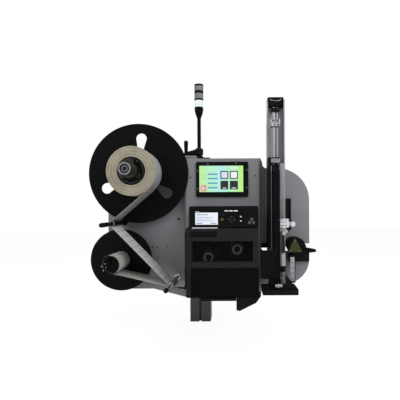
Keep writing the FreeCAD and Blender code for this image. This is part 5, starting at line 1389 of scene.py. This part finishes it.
@dataclass
class Applicator(Dresser):
    """The tamp applicator on its channel column: slide, rods, yoke, buffer, valves and pad."""

    slide_face: float = 95
    post_face: float = 108
    triangle_face: float = 110

    def build(self) -> None:
        """Dress the applicator and add its parts."""
        self.dress(CHANNEL_ANODISED, "applicator_column")
        self.dress(BLACK_POWDER, "assist_bracket")
        self.dress(BLACK_ABS, "vacuum_unit")
        self.dress(BLACK_ANODISED, "slide_unit", "adjust_rail", "tamp_pad")
        self.dress(GROUND_ROD, "tamp_rods")
        self.dress(ACETAL, "valve_block", "regulator_knob")
        self.add_yoke()
        self.add_cap()
        self.add_chain()
        self.add_slide_parts()
        self.add_buffer()
        self.add_valve_parts()
        self.add_vacuum_parts()

    def add_yoke(self) -> None:
        """Build the black yoke over the rods and the bright clamp under it."""
        yoke = Blank.slab("rod_yoke", (261, 777, 293, 789), 66, 28)
        yoke.round_edges(along(Axis.Z), 4).soften(0.8).fit("tamp", BLACK_ANODISED, "tamp_yoke")
        clamp = Blank.slab("rod_clamp", (261, 725, 295, 750), 66, 28)
        clamp.round_edges(along(Axis.Z), 2.5).step(Toward.OUT, 3, -0.8).soften(0.6)
        clamp.fit("tamp", MILLED_ALUMINIUM, "tamp_yoke")
        CapScrew(2.2, 1.6).face("clamp_screws", 93.4, (285.8, 745), (270, 745), (275.4, 730), (288, 730),
                                body="tamp")

    def add_cap(self) -> None:
        """Build the column's tapered end cap and the bright trim on it."""
        Blank.bow("cap_trim", at(263, 48.2, 830.3), at(284, 48.2, 868), 58, 1.1).fit("head", CHROME)
        cap = Blank.slab("column_end_cap", (255, 807, 313, 838), -2, 50)
        cap.shift(along(Axis.Y, lambda middle: middle.z < 0.82 and middle.x < 0.27), x=5)
        cap.shift(along(Axis.Y, lambda middle: middle.z < 0.82 and middle.x > 0.3), x=-5)
        cap.round_edges(along(Axis.Y, lambda middle: middle.z > 0.82), 3)
        cap.step(Toward.OUT, 4, -1.2).soften(0.7).fit("head", BLACK_ABS, "applicator_cap")

    def add_chain(self) -> None:
        """Build the cable chain: rounded links at a pitch, over a narrower core."""
        link = Blank.slab("chain_links", (266, 301, 291, 309), self.slide_face, 18)
        link.round_edges(along(Axis.X, lambda middle: middle.y < -0.23), 2.4)
        link.round_edges(along(Axis.Z), 1.2, 2).row(30, z=9)
        core = Blank.slab("chain_core", (268, 300, 289, 572), self.slide_face, 16.5)
        core.round_edges(along(Axis.X, lambda middle: middle.z > 0.5 and middle.y < -0.22), 12, 6)
        link.join(core).fit("head", BLACK_ABS, "cable_duct")

    def add_slide_parts(self) -> None:
        """Add the slide's silver end block, its bands, a milled strip painted as the highlight line on the slide's
        edge, and the screws.
        """
        face = self.slide_face
        end = self.tile("slide_end", (262, 598, 292, 612), face, 4, 1.5)
        end.step(Toward.OUT, 2.5, -0.6).soften(0.4).fit("head", MILLED_ALUMINIUM)
        Blank.slab("slide_band", (252, 613, 292, 616.8), face, 1.5).soften(0.5).fit("head", BLACK_ABS)
        self.tile("slide_stop", (264, 589, 292, 597), face, 6, 1.5).soften(0.4).fit("head", BLACK_ABS)
        CapScrew(1.6, 1, ZINC).face("stop_screws", face + 6, (270, 593), (286, 593))
        # A bright milled strip beside the cable chain: painted highlight along the slide's edge there.
        Blank.slab("slide_line", (262, 300.5, 264, 588), face, 0.8).soften(0.3, 1).fit("head", MILLED_ALUMINIUM)
        CapScrew(1.9, 1).face("slide_screws", face, *[(257, z) for z in range(320, 561, 60)])

    def add_buffer(self) -> None:
        """Turn the buffer: a silver body, a dark collar, a ringed spring and its stem."""
        coils = [(36, 3)]
        for foot in range(36, 56, 4):
            coils += [(foot + 0.2, 5.4), (foot + 1.4, 7.6), (foot + 2.8, 7.6), (foot + 4, 5.4)]
        for name, finish, sides, profile in (
                ("buffer_body", CHANNEL_ANODISED, 48, [
                    (75, 6), (75, 8.8), (76, 9.5), (112, 9.5), (114, 8.6), (118, 8.6), (118, 4)]),
                ("buffer_collar", BLACK_ABS, 48, [
                    (56, 5), (56, 8), (57, 9.2), (60, 9.2), (62, 8.4), (70, 8.4), (75, 8.4), (75, 5)]),
                ("buffer_spring", ZINC, 48, coils + [(56.2, 3)]),
                ("buffer_stem", GROUND_ROD, 24, [(0, 3.4), (1, 4), (37, 4)])):
            part = Blank.turned(name, at(298, 122, 171), Toward.UP, profile, sides)
            part.fit("tamp", finish, "tamp_buffer")

    def add_valve_parts(self) -> None:
        """Add the valve's seams, screws and tube bow, the column's side cover and the rail's scale strip."""
        depth = (PLATE_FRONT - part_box("valve_block")[0].y) / MM
        for count, z in enumerate((381, 392)):
            seam = Blank.slab("valve_seam_%d" % count, (293.6, z, 318, z + 1.4), depth, 0.8)
            seam.soften(0.3, 1).fit("head", BLACK_ABS)
        CapScrew(2, 1.2, ZINC).face("valve_screws", depth, (298, 376.5), (298, 400), (314, 376.5), (314, 400))
        bow = Blank.bow("valve_bow", at(318, depth - 12, 355), at(304.5, depth - 12, 355), 180, 3)
        bow.fit("head", ACETAL)
        Blank.slab("column_side_cover", (293, 405, 314, 602), 44, 3).soften(0.6).fit("head", SATIN_SHEET)
        strip = Blank.slab("scale_strip", (306, 408, 315, 470), 47, 2)
        strip.step(Toward.OUT, 1.6, -0.8).soften(0.3, 1).fit("head", MILLED_ALUMINIUM)

    def add_vacuum_parts(self) -> None:
        """Add the plain triangle plate, the post's cover, the lever and the pad's fitting."""
        face, thick = self.triangle_face, 1.2
        plate = Blank.slab("olive_plate", (317.5, 291, 365.5, 339), face, thick)
        for side in (-1, 1):
            plate.shift(along(Axis.Y, lambda middle: middle.z > 0.32 and (middle.x - 0.3415) * side > 0),
                        x=-side * 22.5)
        plate.round_edges(along(Axis.Y), 1.2).soften(0.2, 1).fit("head", OLIVE)
        CapScrew(1.6, 1, ZINC).face("plate_corner_screws", face + thick, (341.5, 328), (326.5, 296), (356.5, 296))
        post = self.tile("post_cover", (325.5, 192, 339.5, 274), self.post_face, thick, 1.5)
        post.fit("head", CHANNEL_ANODISED)
        CapScrew(2, 1.2).face("post_screws", self.post_face + thick, *[(332.5, z) for z in range(200, 255, 18)])
        CapScrew(4, 3.6).face("bracket_screw", self.post_face, (377, 281))
        lever = Blank.block("lever_arm", *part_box("clamp_lever"))
        lever.shift(along(Axis.Y, lambda middle: middle.x > 0.4 and middle.z > 0.296), z=-7)
        lever.shift(along(Axis.Y, lambda middle: middle.x > 0.4 and middle.z < 0.296), z=4)
        lever.round_edges(along(Axis.Y), 3.2).soften(1).fit("clamp_lever", BLACK_ABS, "clamp_lever")
        fitting = Blank.turned("pad_fitting", at(268, 149, 184), Toward.RIGHT, [
            (0, 4), (1, 5.4), (8, 5.4), (8, 7.6), (15, 7.6), (15, 5.6), (24, 5.6), (25, 4.4)], 24)
        fitting.fit("tamp", ZINC)


@dataclass
class Studio:
    """The camera, the lamps, the world and the floor."""

    camera_place: tuple[float, float, float] = (137, -1570, 446)
    lens: float = 35.3
    roll: float = 0.3
    shift: Spot = (-0.0875, 0.0175)
    floor_size: float = 12
    sky_light: float = 0.72
    floor_glow: float = 0.93

    def build(self) -> None:
        """Set up everything round the object."""
        bpy.context.scene.view_settings.view_transform = "Standard"
        self.add_camera()
        self.add_lamp("key_lamp", (1.5, -1.9, 1.9), 1.6, 50)
        self.add_lamp("fill_lamp", (-1.7, -1.9, 1.5), 1.8, 26)
        self.add_lamp("back_lamp", (0.3, 1.8, 1.9), 1.6, 26)
        self.add_world()
        self.add_floor()

    def add_camera(self) -> None:
        """Add the camera at the photograph's place."""
        data = bpy.data.cameras.new("photo_camera")
        data.lens = self.lens
        data.shift_x, data.shift_y = self.shift
        camera = bpy.data.objects.new("photo_camera", data)
        camera.location = Vector(self.camera_place) * MM
        camera.rotation_euler = (math.pi / 2, math.radians(self.roll), 0)
        bpy.context.scene.collection.objects.link(camera)
        bpy.context.scene.camera = camera

    def add_lamp(self, name: str, place: Sequence[float], size: float, power: float) -> None:
        """Add a square lamp that faces the object.

        Args:
            name: the lamp's name.
            place: where it stands, in metres.
            size: its side in metres.
            power: its power in watts.
        """
        data = bpy.data.lights.new(name, "AREA")
        data.size = size
        data.energy = power
        lamp = bpy.data.objects.new(name, data)
        lamp.location = place
        aim = (CAD_BOX[0] + CAD_BOX[1]) / 2 - Vector(place)
        lamp.rotation_euler = aim.to_track_quat("-Z", "Y").to_euler()
        bpy.context.scene.collection.objects.link(lamp)

    def add_world(self) -> None:
        """Light the object softly from all round, and show white behind it."""
        world = bpy.data.worlds.new("studio_world")
        on = Graph(world)
        rays = on.add("LightPath").outputs
        seen = rays["Is Camera Ray"]
        for kind in ("Is Glossy Ray", "Is Transmission Ray"):
            seen = on.add("Math", {"operation": "MAXIMUM"}, {0: seen, 1: rays[kind]}).outputs[0]
        strength = on.add("MapRange", {"To Min": self.sky_light, "To Max": 1}, {"Value": seen}).outputs[0]
        sky = on.add("Background", {"Color": linear("#ffffff")}, {"Strength": strength}).outputs[0]
        on.add("OutputWorld", links={"Surface": sky})
        bpy.context.scene.world = world

    def add_floor(self) -> None:
        """Lay a plain white floor that keeps the object's shadow."""
        bpy.ops.mesh.primitive_plane_add(size=self.floor_size, location=(0, 0, CAD_BOX[0].z))
        floor = bpy.context.object
        floor.name = "studio_floor"
        floor.data.materials.append(self.floor_material())

    def floor_material(self) -> bpy.types.Material:
        """Make a matt white that the camera sees a little brighter than it is lit.

        Returns:
            The material.
        """
        made = bpy.data.materials.new("white_floor")
        on = Graph(made)
        seen = on.add("LightPath").outputs["Is Camera Ray"]
        share = on.add("Math", {"operation": "MULTIPLY", 1: self.floor_glow}, {0: seen}).outputs[0]
        matt = on.add("BsdfDiffuse", {"Color": linear("#f4f4f4")}).outputs[0]
        glow = on.add("Emission", {"Strength": 1}).outputs[0]
        mixed = on.add("MixShader", links={0: share, 1: matt, 2: glow}).outputs[0]
        on.add("OutputMaterial", links={"Surface": mixed})
        return made


def main() -> None:
    """Build the studio and each sub-assembly in order."""
    logging.basicConfig(level=logging.INFO, format="%(name)s: %(message)s")
    for part in (Studio(), LiftColumn(), SignalLamp(), MainPlate(), OperatorScreen(), Unwind(), Rewind(),
                 WebGuides(), PrintEngine(), Applicator()):
        part.build()
        LOG.info("built %s", type(part).__name__)


if __name__ == "__main__":
    main()
